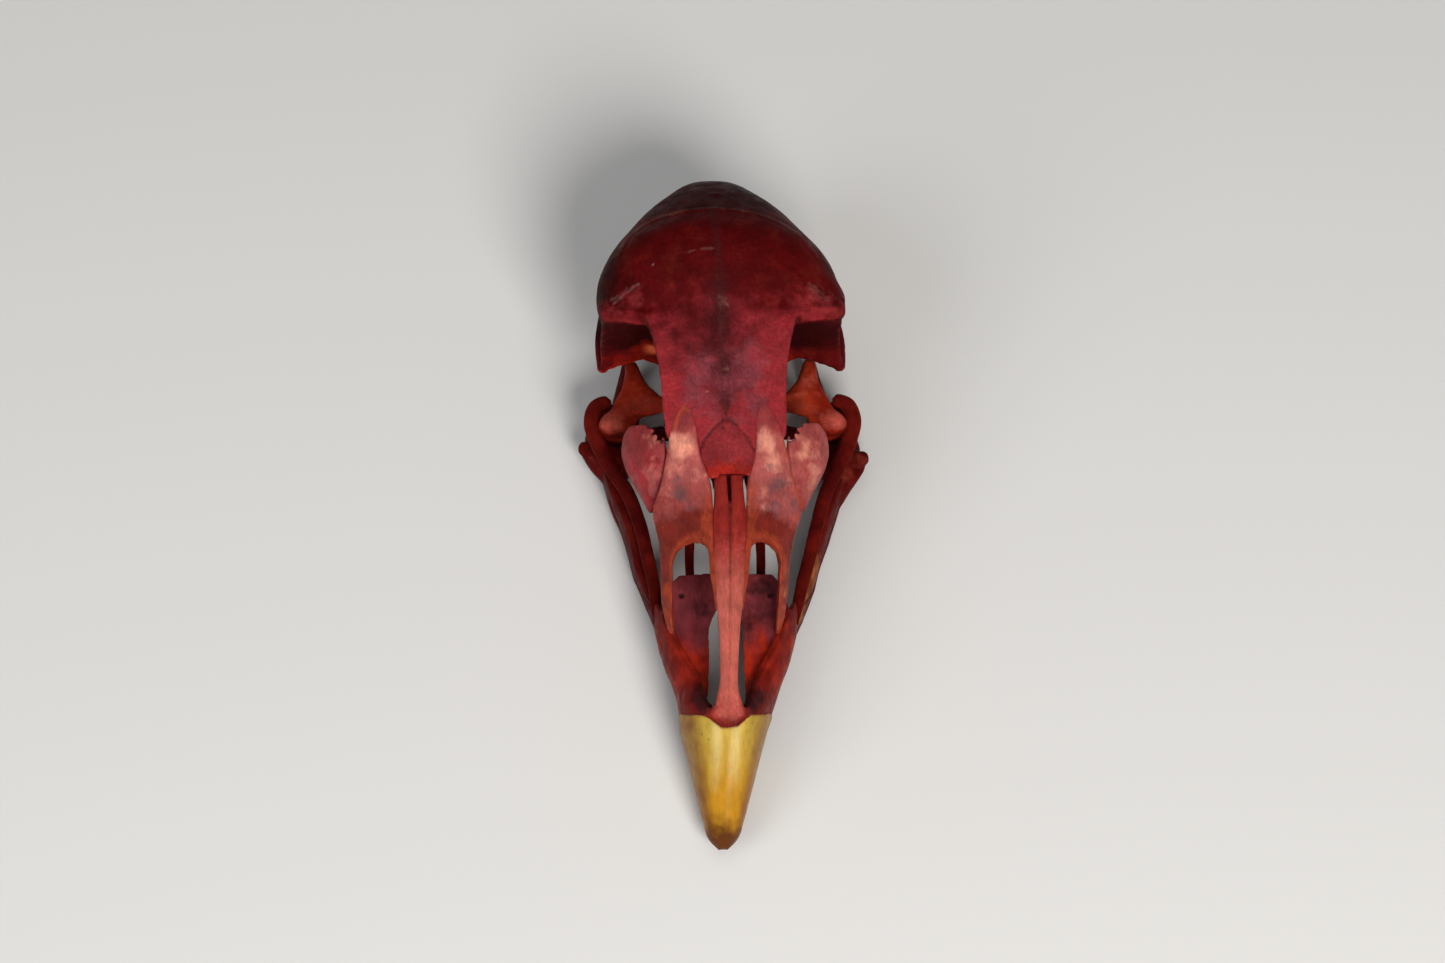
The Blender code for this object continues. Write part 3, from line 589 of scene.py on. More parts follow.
def cranium():
    bone = fused(cranium_bodies(), cranium_cutters())
    p = bone.points
    x, y, z = p.T
    bone.melt(140, bone.upward(0.2, 0.6) * band(y, 12, 14.5, 21, 25)
              * fade(y + 7.2 * fade(abs(x), 7.5, 6), 18.6, 20))
    up = bone.upward(0.1, 0.5)
    top = up * fade(z, 15.5, 17.5)
    plate = top * within(p, PLATE_OUTLINE, 0.35)
    suture = line(p, [(a + 0.1 * math.sin(7 * b), b) for a, b in PLATE_OUTLINE[2:-2]], 0.24) * top
    fork = line(p, [(0.2, 8.6), (0.3, 6.6), (0, 5.5)], 0.2) * top
    midline = line(p, [(-0.3, 33), (0, 22), (0.15, 12), (0, 5.5)], 0.9) * top
    valley = np.exp(-((x / 1.7) ** 2)) * top * band(y, 4.8, 7.5, 15.5, 24)
    nuchal = line(p, NUCHAL_LINE, 0.45) * top
    edges = [[FOREHEAD_HALF_WIDTH], [FOREHEAD_HALF_WIDTH + 0.6]]
    rim = top * fade(away(abs(p[:, :1]), edges), 0.9, 0.1) * fade(y, 17, 14)
    ragged_front = top * fade(y, 1.7, 0.7) * fade(abs(x), 2.7, 2.3)
    teeth = 0.55 * ripple(p * (1, 0, 0), 0.42, 5) + 0.35 * ripple(p * (1, 0, 0), 0.9, 6)
    y += ragged_front * (teeth - 0.25) * 0.75
    x += 0.5 * fade(x, 11, 13) * band(y, 16.5, 18.5, 21, 23.5) * fade(z, 17, 19.5)
    brow = band(y, 17.2, 18.2, 19.6, 20.8) * fade(abs(x), 7.6, 9)
    bone.push(
        0.10 * plate - 0.15 * suture - 0.10 * fork - 0.42 * valley
        - 0.12 * midline * band(y, 5.5, 9, 13, 27)
        + 0.07 * nuchal
        + 0.10 * rim * (0.4 + ripple(p, 0.6, 7))
        + top * fade(y, 24, 14) * 0.030 * ripple(p, 0.55, 8)
        + 0.07 * ripple(p, 0.5, 4) * top * brow
        + 0.018 * ripple(p, 0.32, 9) + 0.055 * ripple(p, 2.6, 10)
    )
    ridges = bone.ridges()
    uneven = wander(p, 1.6, 0.8, 20)
    orbit = fade(z, 21.4, 19.6) * band(y, 1.5, 4.5, 17.4, 19.2) * (1 - up)
    frontal = top * fade(y + 1.8 * ripple(p, 3, 16), 21.8, 11.5)
    scraped = most([strength * line(p, path, width) for path, width, strength in SCRATCHES])
    brow = band(y, 17.2, 18, 19.2, 20.9) * fade(abs(x), 7.8, 9)
    bone.masks = {
        "rose": frontal,
        "grey": frontal * fade(abs(y - 10), 8, 2) * fade(abs(x), 6.4, 3)
        * (0.7 + 0.4 * ripple(p, 1.7, 11)) * (1 - 0.7 * fade(y - 0.3 * x, 11, 15)),
        "plate": plate,
        "seam": most([
            suture * (0.75 + 0.35 * ripple(p, 0.5, 15)), fork * 0.8,
            0.6 * midline * (0.8 + 0.2 * ripple(p, 1.2, 12)),
            spots(p, [(-0.39, 4.49, 20.9, 0.28, 1)]),
        ]),
        # Painted shade: the tops of the orbit walls, the rear and sides of the dome that face away
        # from the lamps, patches on the frontals, and the place under the forehead's front edge.
        "dark": most([
            orbit * fade(z, 13.8, 15.6), 0.7 * fade(uneven[:, 1], 29.4, 30.6),
            0.9 * fade(uneven[:, 0], -8, -13) * fade(y, 17.5, 21),
            0.35 * fade(uneven[:, 0], 10, 13) * fade(y, 20.5, 23), 0.25 * fade(y, 23, 29),
            top * spots(uneven, [(-3.6, 14.2, 22.9, 5.2, 0.6), (2, 15, 24.1, 3.6, 0.45)]),
            fade(y, 2.6, 1.6) * fade(z, 17.9, 17.3),
        ]),
        # Warm orange tone on the lower orbit walls and the forehead's ragged front, and a painted
        # glow around a spot on the orbit wall at negative X.
        "glow": most([
            0.7 * orbit * fade(z, 15.6, 14) * fade(abs(x), 6, 8) * fade(x, 12, 4),
            spots(uneven, [(-7.9, 17.3, 15, 2.4, 1)]) * (1 - up),
            0.8 * ragged_front,
            0.7 * top * fade(ripple(p * (1, 0.25, 0.25), 0.5, 3), -0.1, 0.5) * fade(y, 2.4, 0.9)
            * fade(abs(x), 2.6, 1.8),
        ]),
        "pale": most([
            0.16 * nuchal * (0.6 + 0.4 * ripple(p, 1.6, 13)),
            spots(uneven, [(-1.94, 8.47, 21.8, 0.45, 0.55), (0.6, 10.63, 22.1, 0.4, 0.4)]),
            spots(p, [(0.73, 8.35, 21.6, 0.17, 0.8)]),
            0.30 * fade(ridges, 0.45, 0.95) * fade(y, 21, 18),
        ]),
        "scuff": most([
            scraped * top * (0.5 + 0.5 * fade(ripple(p, 0.7, 17), -0.6, 0.4)),
            0.15 * spots(uneven, [(0.27, 17.6, 24.7, 1.7, 1), (0, 16.2, 24.4, 1.3, 0.25)])
            * fade(ripple(p, (0.5, 0.9, 0.5), 18), -0.8, 0.6),
            spots(p, [(-7.04, 22.19, 25.1, 0.22, 0.6), (-5.44, 21.68, 25.5, 0.2, 0.6)]),
        ]),
        # Painted glow: a bright amber spot on the orbit wall at negative X.
        "spark": spots(p, [(-7.5, 17.4, 14.95, 1.35, 1)]) * (1 - up),
        # Painted shade in the groove along the middle of the forehead.
        "valley": np.maximum(
            valley * (0.45 + 0.65 * fade(y, 8.5, 13.5)) * (0.8 + 0.3 * ripple(p, 1.5, 19)),
            0.35 * spots(p, [(-0.39, 4.49, 20.9, 0.3, 1)])),
        "edge": np.maximum(fade(ridges, 0.25, 0.8),
                           0.8 * top * brow * fade(ripple(p, 0.8, 2), -0.8, 0.5)),
    }
    return bone


# --- Nasal bones and lacrimals -------------------------------------------------------------


# Marks on the two nasal bones, by side: the centre, the radius and the strength. The pale marks are
# pale bone and painted highlight.
NASAL_PALE_AND_HIGHLIGHT = {
    1: [(4.3, 3.4, 20, 2.4, 0.95), (4.6, 1.6, 18.9, 2.4, 0.8), (5.9, -0.4, 17.2, 1.6, 0.35),
        (3.8, -3.1, 17.5, 1.2, 0.6), (3.5, -1.4, 17.9, 1.4, 0.4)],
    -1: [(-5, 3, 19.8, 2.5, 0.95), (-5.6, 1.2, 18.3, 2.4, 0.5), (-3.7, 0.4, 18.5, 1.6, 0.4),
         (-6.6, -1.2, 16.6, 1.8, 0.3)],
}
NASAL_SMUDGES = {
    1: [(5.1, -0.9, 17.6, 2.1, 1), (4.1, 0.9, 18.9, 1.3, 0.6), (4.3, -3.2, 17.2, 1.8, 0.8),
        (6.6, -2.6, 16, 2, 0.7)],
    -1: [(-5.14, -1.7, 17.3, 1.9, 1), (-4.5, -3, 17.1, 1.5, 0.8), (-5.3, -0.6, 17.7, 1.2, 0.6)],
}


def nasal(side):
    """The plate beside the bar, forked round the rear of the nostril."""
    nostril_arch = sweep([(3.9, -8.35, 15.2, 1.76, 6), (3.83, -10.4, 14.6, 1.85, 6),
                          (3.62, -12.6, 14, 2.04, 6), (3.52, -14.6, 13.4, 2.3, 6),
                          (3.5, -18, 13, 3, 6)], sides=48)
    arch_top = ellipsoid((3.95, -8.3, 15.2), (1.78, 2, 6))
    cutters = sided([nostril_arch, arch_top], side)
    bone = fused(sided([nasal_plate()], side), cutters, FINE_VOXEL, 4)
    p = bone.points
    x, y, _ = p.T
    if side < 0:
        x -= 0.3 * fade(y, -1, -5) * fade(x, -2.2, -4.5)
    up = bone.upward(0, 0.4)
    bone.push(
        0.022 * ripple(p, (0.35, 2.4, 0.5), 21 + side)
        + 0.08 * ripple(p, (1.2, 2.6, 1.6), 23 + side) * up
        + 0.010 * ripple(p, 0.3, 25)
        - 0.10 * up * fade(abs(abs(x) - 5), 1.6, 0.2) * fade(abs(y + 2), 4, 0.5)
    )
    ridges = bone.ridges()
    uneven = wander(p, 1.4, 0.8, 28)
    rear = fade(uneven[:, 1], 3.5, 5.5)
    outer_edge = line(p * (side, 1, 1), [(6.3, 3.6), (6.75, 1.8), (7.2, 0), (8, -2.3)], 0.5)
    streaks = (0.15 if side > 0 else 0.35) + 0.4 * ripple(p, (1.1, 1.6, 1.1), 30)
    bone.masks = {
        # Pale bone and painted highlight on the upward faces.
        "pale": spots(uneven, NASAL_PALE_AND_HIGHLIGHT[side]) * up * (1 - rear)
        * (0.82 + 0.2 * ripple(p, (0.3, 1.6, 0.6), 29)),
        "smudge": spots(uneven, NASAL_SMUDGES[side]) * up
        * (0.8 + 0.3 * ripple(p, (0.6, 0.9, 0.9), 27)),
        "rust": np.maximum(fade(uneven[:, 1] + 0.5 * (side > 0), -2, -4.6),
                           fade(uneven[:, 1], 0.8, -2.2) * streaks) * (0.8 + 0.2 * up),
        "rose": rear,
        "amber": most([
            0.7 * fade(abs(uneven[:, 0]), 3.4, 2.2) * fade(y, 1, -2),
            fade(y, -8.6, -10.5) * (0.6 + 0.4 * ripple(p, 1.1, 38)),
            0.6 * fade(abs(np.hypot(abs(x) - 3.9, y + 8.3) - 2.1), 1, 0.1),
            (0.9 if side > 0 else 0.5) * outer_edge,
            0.8 * line(p, [(-5.4, 4.8), (-5, 6.3), (-4.45, 7), (-3.9, 6.5)], 0.4),
        ]),
        # Buff spots, the first a painted highlight, and paler ridges.
        "glow": most([
            spots(uneven, [(-5.5, 3.6, 19.9, 0.8, 0.9), (2.4, -3.3, 17.9, 0.6, 0.8),
                           (6.2, -10.6, 11.1, 0.6, 0.3), (-5.2, 2.9, 19.8, 2.2, 0.16)]),
            0.3 * fade(ridges, 0.45, 0.95),
        ]),
        # Painted shade on the undersides.
        "dark": (1 - up) * bone.upward(-0.2, -0.7),
    }
    return bone


def lacrimal(side):
    """The rounded plate in front of the eye, whose inner rear edge is torn into small teeth."""
    plate = slab([
        (8.1, -1.8, 13.4, 8.4, -1.7, 13.1, 0.6, 0.05),
        (7.7, -0.6, 14.8, 9.05, -0.2, 12.9, 0.8, 0.25), (7.05, 1, 16.6, 9.95, 1.5, 13.1, 0.9, 0.5),
        (6.75, 2.7, 17.9, 10.85, 3.3, 13.5, 1, 0.65), (6.85, 4.2, 18.6, 11.3, 5, 14.3, 1, 0.65),
        (7.3, 5.5, 18.7, 11, 6.4, 15.6, 0.9, 0.45), (8.1, 6.4, 18.4, 10.2, 7, 16.9, 0.7, 0.15),
    ])
    torn = [(6.9, 4.2, 0.4, 0.14), (7.05, 4.75, 0.7, 0.17), (7.2, 5.25, 0.35, 0.13),
            (7.35, 5.6, 0.85, 0.2), (7.62, 6.1, 0.45, 0.14), (7.9, 6.45, 0.8, 0.17),
            (8.25, 6.75, 0.4, 0.13), (8.6, 7, 0.6, 0.15), (9.05, 7.2, 0.35, 0.12)]
    notches = [ellipsoid((a, b, 18.2), (deep, wide, 3), (0, 0, 4 - 6 * a))
               for a, b, deep, wide in torn]
    bone = fused(sided([plate], side), sided(notches, side), SMALL_VOXEL, 4)
    p = bone.points
    _, y, _ = p.T
    up = bone.upward(0, 0.4)
    rough = 1 if side < 0 else 0.35
    bone.push((0.06 * rough * ripple(p, 0.7, 31) + 0.05 * ripple(p, 2, 32)) * up
              + 0.012 * ripple(p, 0.28, 33))
    ridges = bone.ridges()
    uneven = wander(p, 1.3, 0.8, 35)
    flipped = uneven * (side, 1, 1)
    middle = up * spots(flipped, [(8.9, 3.4, 16.9, 2.3, 1), (9.3, 1.4, 15, 1.8, 0.7)])
    inner = up * spots(flipped, [(7.9, 4.6, 18.2, 1.4, 0.8), (8.1, 2.3, 16.9, 1.2, 0.6)])
    patches = ripple(p, (1, 1.3, 1), 34) + 0.12 * (2.5 - y)
    bone.masks = {
        # Pale bone and painted highlight on the upward faces.
        "pale": np.maximum(middle * (0.06 if side < 0 else 0.95), inner * 0.5)
        * (0.75 + 0.35 * ripple(p, (0.5, 1.2, 0.7), 36)),
        "rose": fade(y, 0.2, 3.5) * rough,
        "blotch": rough * fade(patches, -0.1, 0.6) * up,
        "rust": fade(y, 0.4, -2.4),
        "glow": 0.5 * fade(ridges, 0.4, 0.9),
        # Painted shade on the faces that do not face up.
        "dark": 0.6 * (1 - up),
    }
    return bone


# --- Upper bill ----------------------------------------------------------------------------

# The bill's front: 0, y, edge height, half width, top, underside on the midline, wall.
BILL_VAULT = [
    (0, BILL_TIP_Y, BILL_TIP_Z, 0.5, BILL_TIP_Z + 0.7, BILL_TIP_Z + 0.1, 0.15),
    (0, -35.6, 2.7, 1.4, 4.6, 3, 0.5), (0, -33.5, 3.3, 2.2, 6.8, 4.3, 0.8),
    (0, -31.3, 3.8, 2.8, 8.7, 5.2, 0.9), (0, -29.2, 4.3, 3.35, 10.2, 5.9, 1),
    (0, -27, 4.7, 3.9, 11.4, 6.4, 1), (0, -24.8, 5.1, 4.5, 12.5, 6.8, 1.1),
    (0, -22.6, 5.5, 5.05, 13.4, 7, 1.2), (0, -21.4, 5.8, 5.4, 13.8, 7.2, 1.3),
]
# The horn's rear edge: how far across the bill, from midline to side, and the y it reaches.
HORN_BORDER = [(0, -26.4), (0.12, -26.3), (0.28, -25.95), (0.42, -25.4), (0.53, -24.8),
               (0.68, -24.45), (0.85, -24), (0.95, -23.2), (1, -22.5)]


def vault_at(y):
    """The bill's edge height, half width, top, roof and wall at any y."""
    rows = through(BILL_VAULT, 240)
    return [np.interp(y, rows[:, 1], rows[:, column]) for column in range(2, 7)]


def vault_outside(angle, y, inset=0):
    """A point of the bill's outside, at an angle from the +X edge over the top."""
    edge, wide, top, _, _ = vault_at(y)
    height = edge + (top - inset - edge) * np.sin(angle) ** 0.85
    return np.stack([(wide - inset) * np.cos(angle), y, height], axis=-1)


def vault_inside(angle, y):
    edge, wide, _, roof, wall = vault_at(y)
    return np.stack(
        [(wide - wall) * np.cos(angle), y, edge + (roof - edge) * np.sin(angle)], axis=-1)


def horn_border(angle):
    wave = 0.07 * np.sin(angle * 13 + 0.6) + 0.03 * np.sin(angle * 31 + 1)
    return lookup(abs(np.cos(angle)), HORN_BORDER) + wave * np.sin(angle)


def vault(front, rear, inset, rings=70, around=61):
    """The bill between two y limits, each given for every angle, as one closed body."""
    angles = np.linspace(0, math.pi, around)
    body = []
    for share in np.linspace(0, 1, rings):
        y = front(angles) + (rear(angles) - front(angles)) * share
        body.append([*vault_outside(angles, y, inset), *vault_inside(angles, y)[::-1]])
    return skinned(body)


def bill_bar():
    """The long strip of premaxilla that runs back over the nostrils to the hinge."""
    return level_slab([
        (1.5, HINGE_Y + 0.1, 17.85, 1.1, 0.35), (1.64, -2.6, 17.75, 1.2, 0.4),
        (1.95, -5.2, 17.5, 1.3, 0.45), (1.66, -10.2, 16.8, 1.4, 0.5), (1.4, -13.6, 16.2, 1.5, 0.5),
        (1.13, -16.7, 15.5, 1.6, 0.45), (0.97, -20, 14.5, 1.7, 0.4), (1, -22.4, 13.6, 1.8, 0.4),
        (1.45, -24, 12.8, 2.2, 0.35), (2.5, -25.2, 11.8, 2.8, 0.3),
    ], steps=60)


def bill_side():
    """The side of the bill from its front to the step at the corner of the mouth."""
    return slab([
        (1.8, -24.3, 11.9, 4.3, -24.1, 5.3, 1.8, 0.75),
        (2.15, -23.3, 11.9, 4.75, -23.2, 5.4, 2, 0.85),
        (2.55, -22, 11.2, 5.1, -22, 5.6, 1.9, 0.85),
        (3.35, -20.4, 10.3, 5.55, -20.2, 5.8, 1.8, 0.7),
        (4.75, -17.6, 9.75, 6.6, -17.2, 6, 1.6, 0.5),
        (5.85, -15.2, 9.5, 7.4, -14.4, 6.3, 1.4, 0.35),
        (6.55, -12.7, 9.1, 7.85, -11.9, 6.6, 1.2, 0.2),
        (7.15, -10.9, 8.1, 7.8, -10.5, 6.9, 0.9, 0.05), (7.5, -9.7, 7.4, 7.7, -9.6, 7, 0.5, 0),
    ], facing=(1, 0, 0.3))


def palate_shelf():
    """The floor of the nostril, from the midline slit out to the bill's side."""
    return slab([
        (-0.2, -6.75, 8.4, 5, -6.85, 8.5, 0.7, 0.1), (-0.2, -7.6, 8.4, 5.9, -7.9, 8.7, 0.9, 0.1),
        (-0.2, -9.6, 8.3, 6.4, -9.6, 8.7, 0.9, 0), (1, -11, 8.2, 6.8, -11.2, 8.7, 0.9, -0.1),
        (1.72, -12.8, 8.2, 6.6, -12.8, 8.9, 1, -0.2),
        (1.78, -16.4, 8.3, 5.4, -16.4, 9.3, 1.1, -0.3),
        (1.85, -19.6, 8.5, 3.9, -19.6, 9.5, 1.2, -0.25),
        (1.9, -22.8, 8.6, 2.9, -22.8, 9.4, 1.3, -0.15),
        (1.9, -24.6, 8.6, 2.9, -24.6, 9.4, 1.3, -0.1),
    ])


def upper_bill():
    front = vault(lambda a: horn_border(a) - 1.2,
                  lambda a: -21.4 - 2.6 * fade(abs(np.cos(a)), 0.98, 0.7), 0.14)
    bodies = [front, bill_bar(), *both([bill_side(), palate_shelf()])]
    nostril = sweep([(1.75, -23.7, 11.4, 0.4, 1.9), (1.85, -21.8, 12, 0.85, 3),
                     (2.55, -18.8, 13.2, 1.45, 3.7), (3.3, -14, 14.2, 1.9, 4.4)])
    hidden_slit = sweep([(0, -23.2, 8.8, 1.5, 2.2), (0, -18, 9.6, 1.78, 3.2),
                         (0, -12.9, 10.4, 1.68, 3.4)])
    parting = sweep([(0, 1.6, 18.2, 0.26, 2.4), (0, -1, 18.2, 0.2, 2.4),
                     (0, -4.6, 18.6, 0.07, 1.4)])
    palate_hole = ellipsoid((4.8, -9.4, 8.75), (0.26, 0.46, 0.55), (0, 0, -12))
    cutters = [hidden_slit, parting, *both([nostril]), *both([palate_hole])]
    bone = fused(bodies, cutters, FINE_VOXEL, 4)
    p = bone.points
    x, y, z = p.T
    bone.melt(40, fade(abs(x), 1.9, 2.6) * band(y, -25.5, -24.5, -19, -17))
    up = bone.upward(0, 0.4)
    foot = fade(y, -22, -24.5)
    bar = fade(z, 9.9, 10.6) * fade(abs(x), 2.4 + 0.5 * foot, 1.4 - 0.5 * foot)
    bar = bar * fade(z + 0.52 * y, -2, -0.6)
    parted = line(p[:, :1], [[0], [0.001]], 0.24) * bar * up
    floor = up * fade(z, 9.4, 8.9) * fade(y, -23.6, -22.6)
    edge = lookup(y, [(-22.3, 2.35), (-20.4, 3.25), (-17.6, 4.65), (-15.2, 5.75), (-12.6, 6.3),
                      (-9, 6.5)])
    between = fade(abs(x) - edge, 0.3, -0.3)
    fold = floor * most([line(p, [(3.2, -7.2), (4, -12), (3.6, -15.8)], 0.6),
                         line(p, [(-3.2, -7.2), (-4.2, -12), (-3.7, -16)], 0.6)])
    crest = [(6.6, -12.6), (5.75, -15.2), (4.65, -17.6), (3.25, -20.4), (2.35, -22.3)]
    crest_line = most([line(p * (side, 1, 1), crest, 0.3) for side in (1, -1)])
    crest_line = crest_line * fade(z, 8.6, 9.2) * (1 - bar)
    bar_width = lookup(y, [(-25, 1.5), (-22.5, 1), (-20, 0.97), (-13.6, 1.4), (-5.2, 1.95),
                           (0.5, 1.62)])
    strips = np.sin(math.pi * np.clip(abs(x) / bar_width, 0, 1))
    bone.push(
        -0.13 * parted * fade(y, -22.5, -15)
        + 0.13 * strips * bar * up * fade(y, -20, -8)
        + bar * (0.030 * ripple(p, (0.22, 2.6, 0.6), 41) + 0.016 * ripple(p, (0.14, 1.2, 0.4), 42))
        + floor * 0.06 * ripple(p, (1, 1.8, 1), 43)
        + 0.05 * fold + 0.07 * crest_line
        + (1 - bar) * 0.022 * ripple(p, (0.4, 0.9, 0.4), 44) + 0.010 * ripple(p, 0.3, 45)
    )
    ridges = bone.ridges()
    mottled = 0.5 + 0.5 * ripple(p, (1.1, 1.5, 1.1), 46)
    uneven = wander(p, 1.5, 0.8, 49)
    smoky = y + 2.2 * ripple(p, (0.8, 3, 1), 37)
    corner = spots(uneven, [(2.3, -23.3, 11.8, 2.2, 1), (-2.3, -23.3, 11.8, 2.2, 1),
                            (3.2, -22, 10.4, 2, 0.8), (-3.2, -22, 10.4, 2, 0.8),
                            (3.7, -23.4, 9.6, 2.2, 0.25), (-3.4, -23.6, 10, 2.4, 0.25)])
    bone.masks = {
        "bar": bar,
        "pink": bar * fade(y, -4, -15.5) * (1 - 0.45 * foot)
        * (1 - foot * fade(abs(x), 0.8, 2.4)),
        "seam": np.maximum(parted * (0.35 + 0.5 * fade(y, -20, -4)),
                           0.5 * crest_line * fade(ripple(p, 0.8, 47), -0.4, 0.6)),
        "purple": floor * between * fade(smoky, -17.6, -12.4)
        * (0.85 + 0.3 * ripple(p, (0.6, 2.5, 1), 39)),
        # Smudges on the nostril floor and darker front corners of the nostrils.
        "smudge": most([
            spots(uneven, [(-2.4, -10.6, 8.4, 2.2, 0.6), (3.6, -8.6, 8.4, 2, 0.7),
                           (3.4, -11, 8.4, 2.8, 0.5), (2.4, -12.4, 8.3, 1.8, 0.6)]) * floor,
            corner * (1 - bar),
            # Painted shade inside the blind pits of the palate holes.
            spots(p, [(4.8, -9.4, 8.5, 0.55, 1), (-4.8, -9.4, 8.5, 0.55, 1)]),
        ]),
        "pale": most([
            0.14 * fold * fade(ripple(p, 1.6, 48), -0.8, 0.8),
            0.12 * spots(uneven, [(-4.4, -12.4, 8.4, 2.4, 1), (4.3, -13.2, 8.4, 2.2, 0.8)])
            * floor * fade(ripple(p, (0.35, 2.2, 1), 40), -0.2, 0.8),
            0.2 * bar * foot * fade(abs(abs(x) - 1), 0.9, 0.1),
            0.25 * fade(ridges, 0.4, 0.9),
        ]),
        "glow": most([
            spots(uneven, [(-6.2, -17.2, 7.7, 3.4, 0.6), (6.2, -15.6, 8.2, 3.6, 0.5)]) * mottled,
            fade(z, 10.2, 9.2) * fade(abs(x) - edge, 0.9, 0) * (0.35 + 0.65 * up)
            * fade(smoky, -11, -17) * fade(uneven[:, 1], -22.5, -19)
            * (0.7 + 0.4 * ripple(p, 1.2, 50)),
            0.5 * (1 - bar) * mottled * band(y, -23, -20, -15, -11),
        ]),
        # Painted shade low down and under the overhangs beside the midline.
        "dark": np.maximum(0.5 * fade(z, 7.4, 6), (1 - up) * fade(z, 16, 9) * fade(abs(x), 4, 2)),
    }
    return bone


def upper_horn():
    """The horn tip, whose rear edge runs in shallow scallops over the bone."""
    sheath = vault(lambda a: BILL_TIP_Y + 0 * a, horn_border, 0, rings=150, around=121)
    bone = Bone(plain_mesh(loose([sheath])))
    p = bone.points
    x, y, _ = p.T
    across = x / np.maximum(vault_at(y)[1], 0.3)
    behind = y - horn_border(np.arccos(np.clip(across, -1, 1)))
    outer = fade(bone.normals()[:, 2] + abs(across), 0, 0.3)
    growth = 0.0016 * np.sin(behind * math.tau / 0.8 + 1.6 * ripple(p, 2, 51))
    lip = fade(behind, -0.45, -0.02) ** 2
    bone.push(outer * (growth + 0.05 * ripple(p, (2.2, 5, 3), 53) - 0.08 * lip))
    side = fade(abs(across), 0.48, 0.92)
    bone.masks = {
        # Painted highlight: two soft pale streaks along the top.
        "pale": fade(y, -33.5, -27.5) * np.exp(-((abs(x + 0.1) - 1.05) / 0.52) ** 2) * outer,
        "tip": fade(y + 0.5 * ripple(p, 1.2, 54), -33.2, -36.4),
        "amber": fade(y, -25.5, -33.5),
        "side": side * (0.8 + 0.2 * ripple(p, 1, 55)),
        "murk": fade(behind, -5, -1) * fade(abs(across), 0.25, 0.6)
        * fade(abs(across), 0.98, 0.8) * (0.45 + 0.55 * ripple(p, (0.9, 1.3, 1), 56)),
        "rim": fade(behind, -0.30, -0.04) * (0.75 + 0.25 * ripple(p, 0.5, 57)),
        "pore": fade(ripple(p, 0.34, 58), 0.72, 0.88) * fade(behind, -6.5, -2),
    }
    return bone


# --- Quadrates, palate, cheek bars ---------------------------------------------------------


def quadrate(side):
    """The bone that hangs the lower jaw from the braincase."""
    jx, jy, jz = JAW_JOINT
    bulb = ellipsoid((11.5, 12.3, 7.3), (2.4, 1.6, 1.7), (0, 0, -16))
    foot = ellipsoid((jx, jy, jz + 1.3), (2.3, 1.5, 1.1))
    ear_arm = slab([
        (9.2, 18.9, 9.8, 10.7, 18.9, 9.6, 1.9, 0.3), (8.9, 17.4, 10.1, 10.7, 17.4, 9.7, 1.7, 0.3),
        (8.4, 16, 10.4, 11, 16, 9.6, 1.6, 0.3), (7.4, 14.6, 10.7, 11.7, 14.7, 9.2, 1.6, 0.3),
        (6.7, 13.5, 10.7, 12.3, 13.6, 8.6, 1.8, 0.35), (6.6, 12.5, 10, 12.6, 12.4, 7.9, 2.2, 0.3),
    ], steps=30)
    eye_arm = slab([
        (9.4, 14.6, 10.5, 9.8, 12.2, 8.2, 1.3, 0), (7.9, 14, 11, 8.1, 12, 9.4, 1, 0),
        (6.2, 13.3, 11.5, 6.4, 11.8, 10.5, 0.7, 0), (4.9, 12.5, 11.8, 5, 11.8, 11.3, 0.55, 0),
    ], facing=(0, -1, 0.5), steps=20)
    bone = fused(sided([bulb, foot, ear_arm, eye_arm], side), (), FINE_VOXEL, 14)
    p = bone.points
    bone.melt(25, fade(p[:, 2], 6, 7.5))
    bone.push(0.05 * ripple(p, 1.1, 61) + 0.012 * ripple(p, 0.3, 62))
    uneven = wander(p, 1.2, 0.6, 65)
    up = bone.upward(0, 0.6)
    bulb_highlight, arm_highlight = (0.9, 0.5) if side > 0 else (0.8, 0.15)
    bone.masks = {
        # Painted highlight on the upward faces of the bulb and arms.
        "pale": up * (spots(uneven, [(side * 12.3, 11.8, 8.3, 2.3, bulb_highlight)]) + arm_highlight * spots(
            uneven, [(side * 9.6, 15.6, 10.4, 1.8, 1), (side * 8.4, 13.8, 10.8, 1.4, 0.8)])),
        # Warm tone on the inner part of one quadrate, painted highlight on the upward faces of the
        # other.
        "glow": fade(abs(uneven[:, 0]), 11.4, 8.6) if side > 0 else 0.4 * up,
        # Painted shade low down and on the faces that do not face up.
        "dark": np.maximum(fade(p[:, 2], 6.6, 5), 0.5 * (1 - up)),
    }
    return bone


def palatine(side):
    """The slim strip of the palate, which spreads towards its rear end."""
    strip = slab([
        (3.3, -8.2, 6.6, 4.2, -8.2, 6.6, 0.7, 0), (3.4, -3.9, 6.2, 4.4, -3.9, 6.2, 0.7, 0),
        (3.1, 1, 6, 4.3, 1, 6, 0.7, 0.1), (2.2, 6, 5.6, 4, 6, 5.6, 0.8, 0.2),
        (1.7, 9.6, 5.3, 3.1, 9.9, 5.3, 0.9, 0.2),
    ])
    bone = fused(sided([strip], side), (), SMALL_VOXEL, 5)
    p = bone.points
    bone.push(0.02 * ripple(p, (0.3, 1.6, 0.3), 63))
    bone.masks = {"glow": 0.5 + 0.5 * ripple(p, (0.6, 2, 0.6), 64),
                  # Painted shade towards the rear end.
                  "dark": fade(p[:, 1], 2, 8)}
    return bone


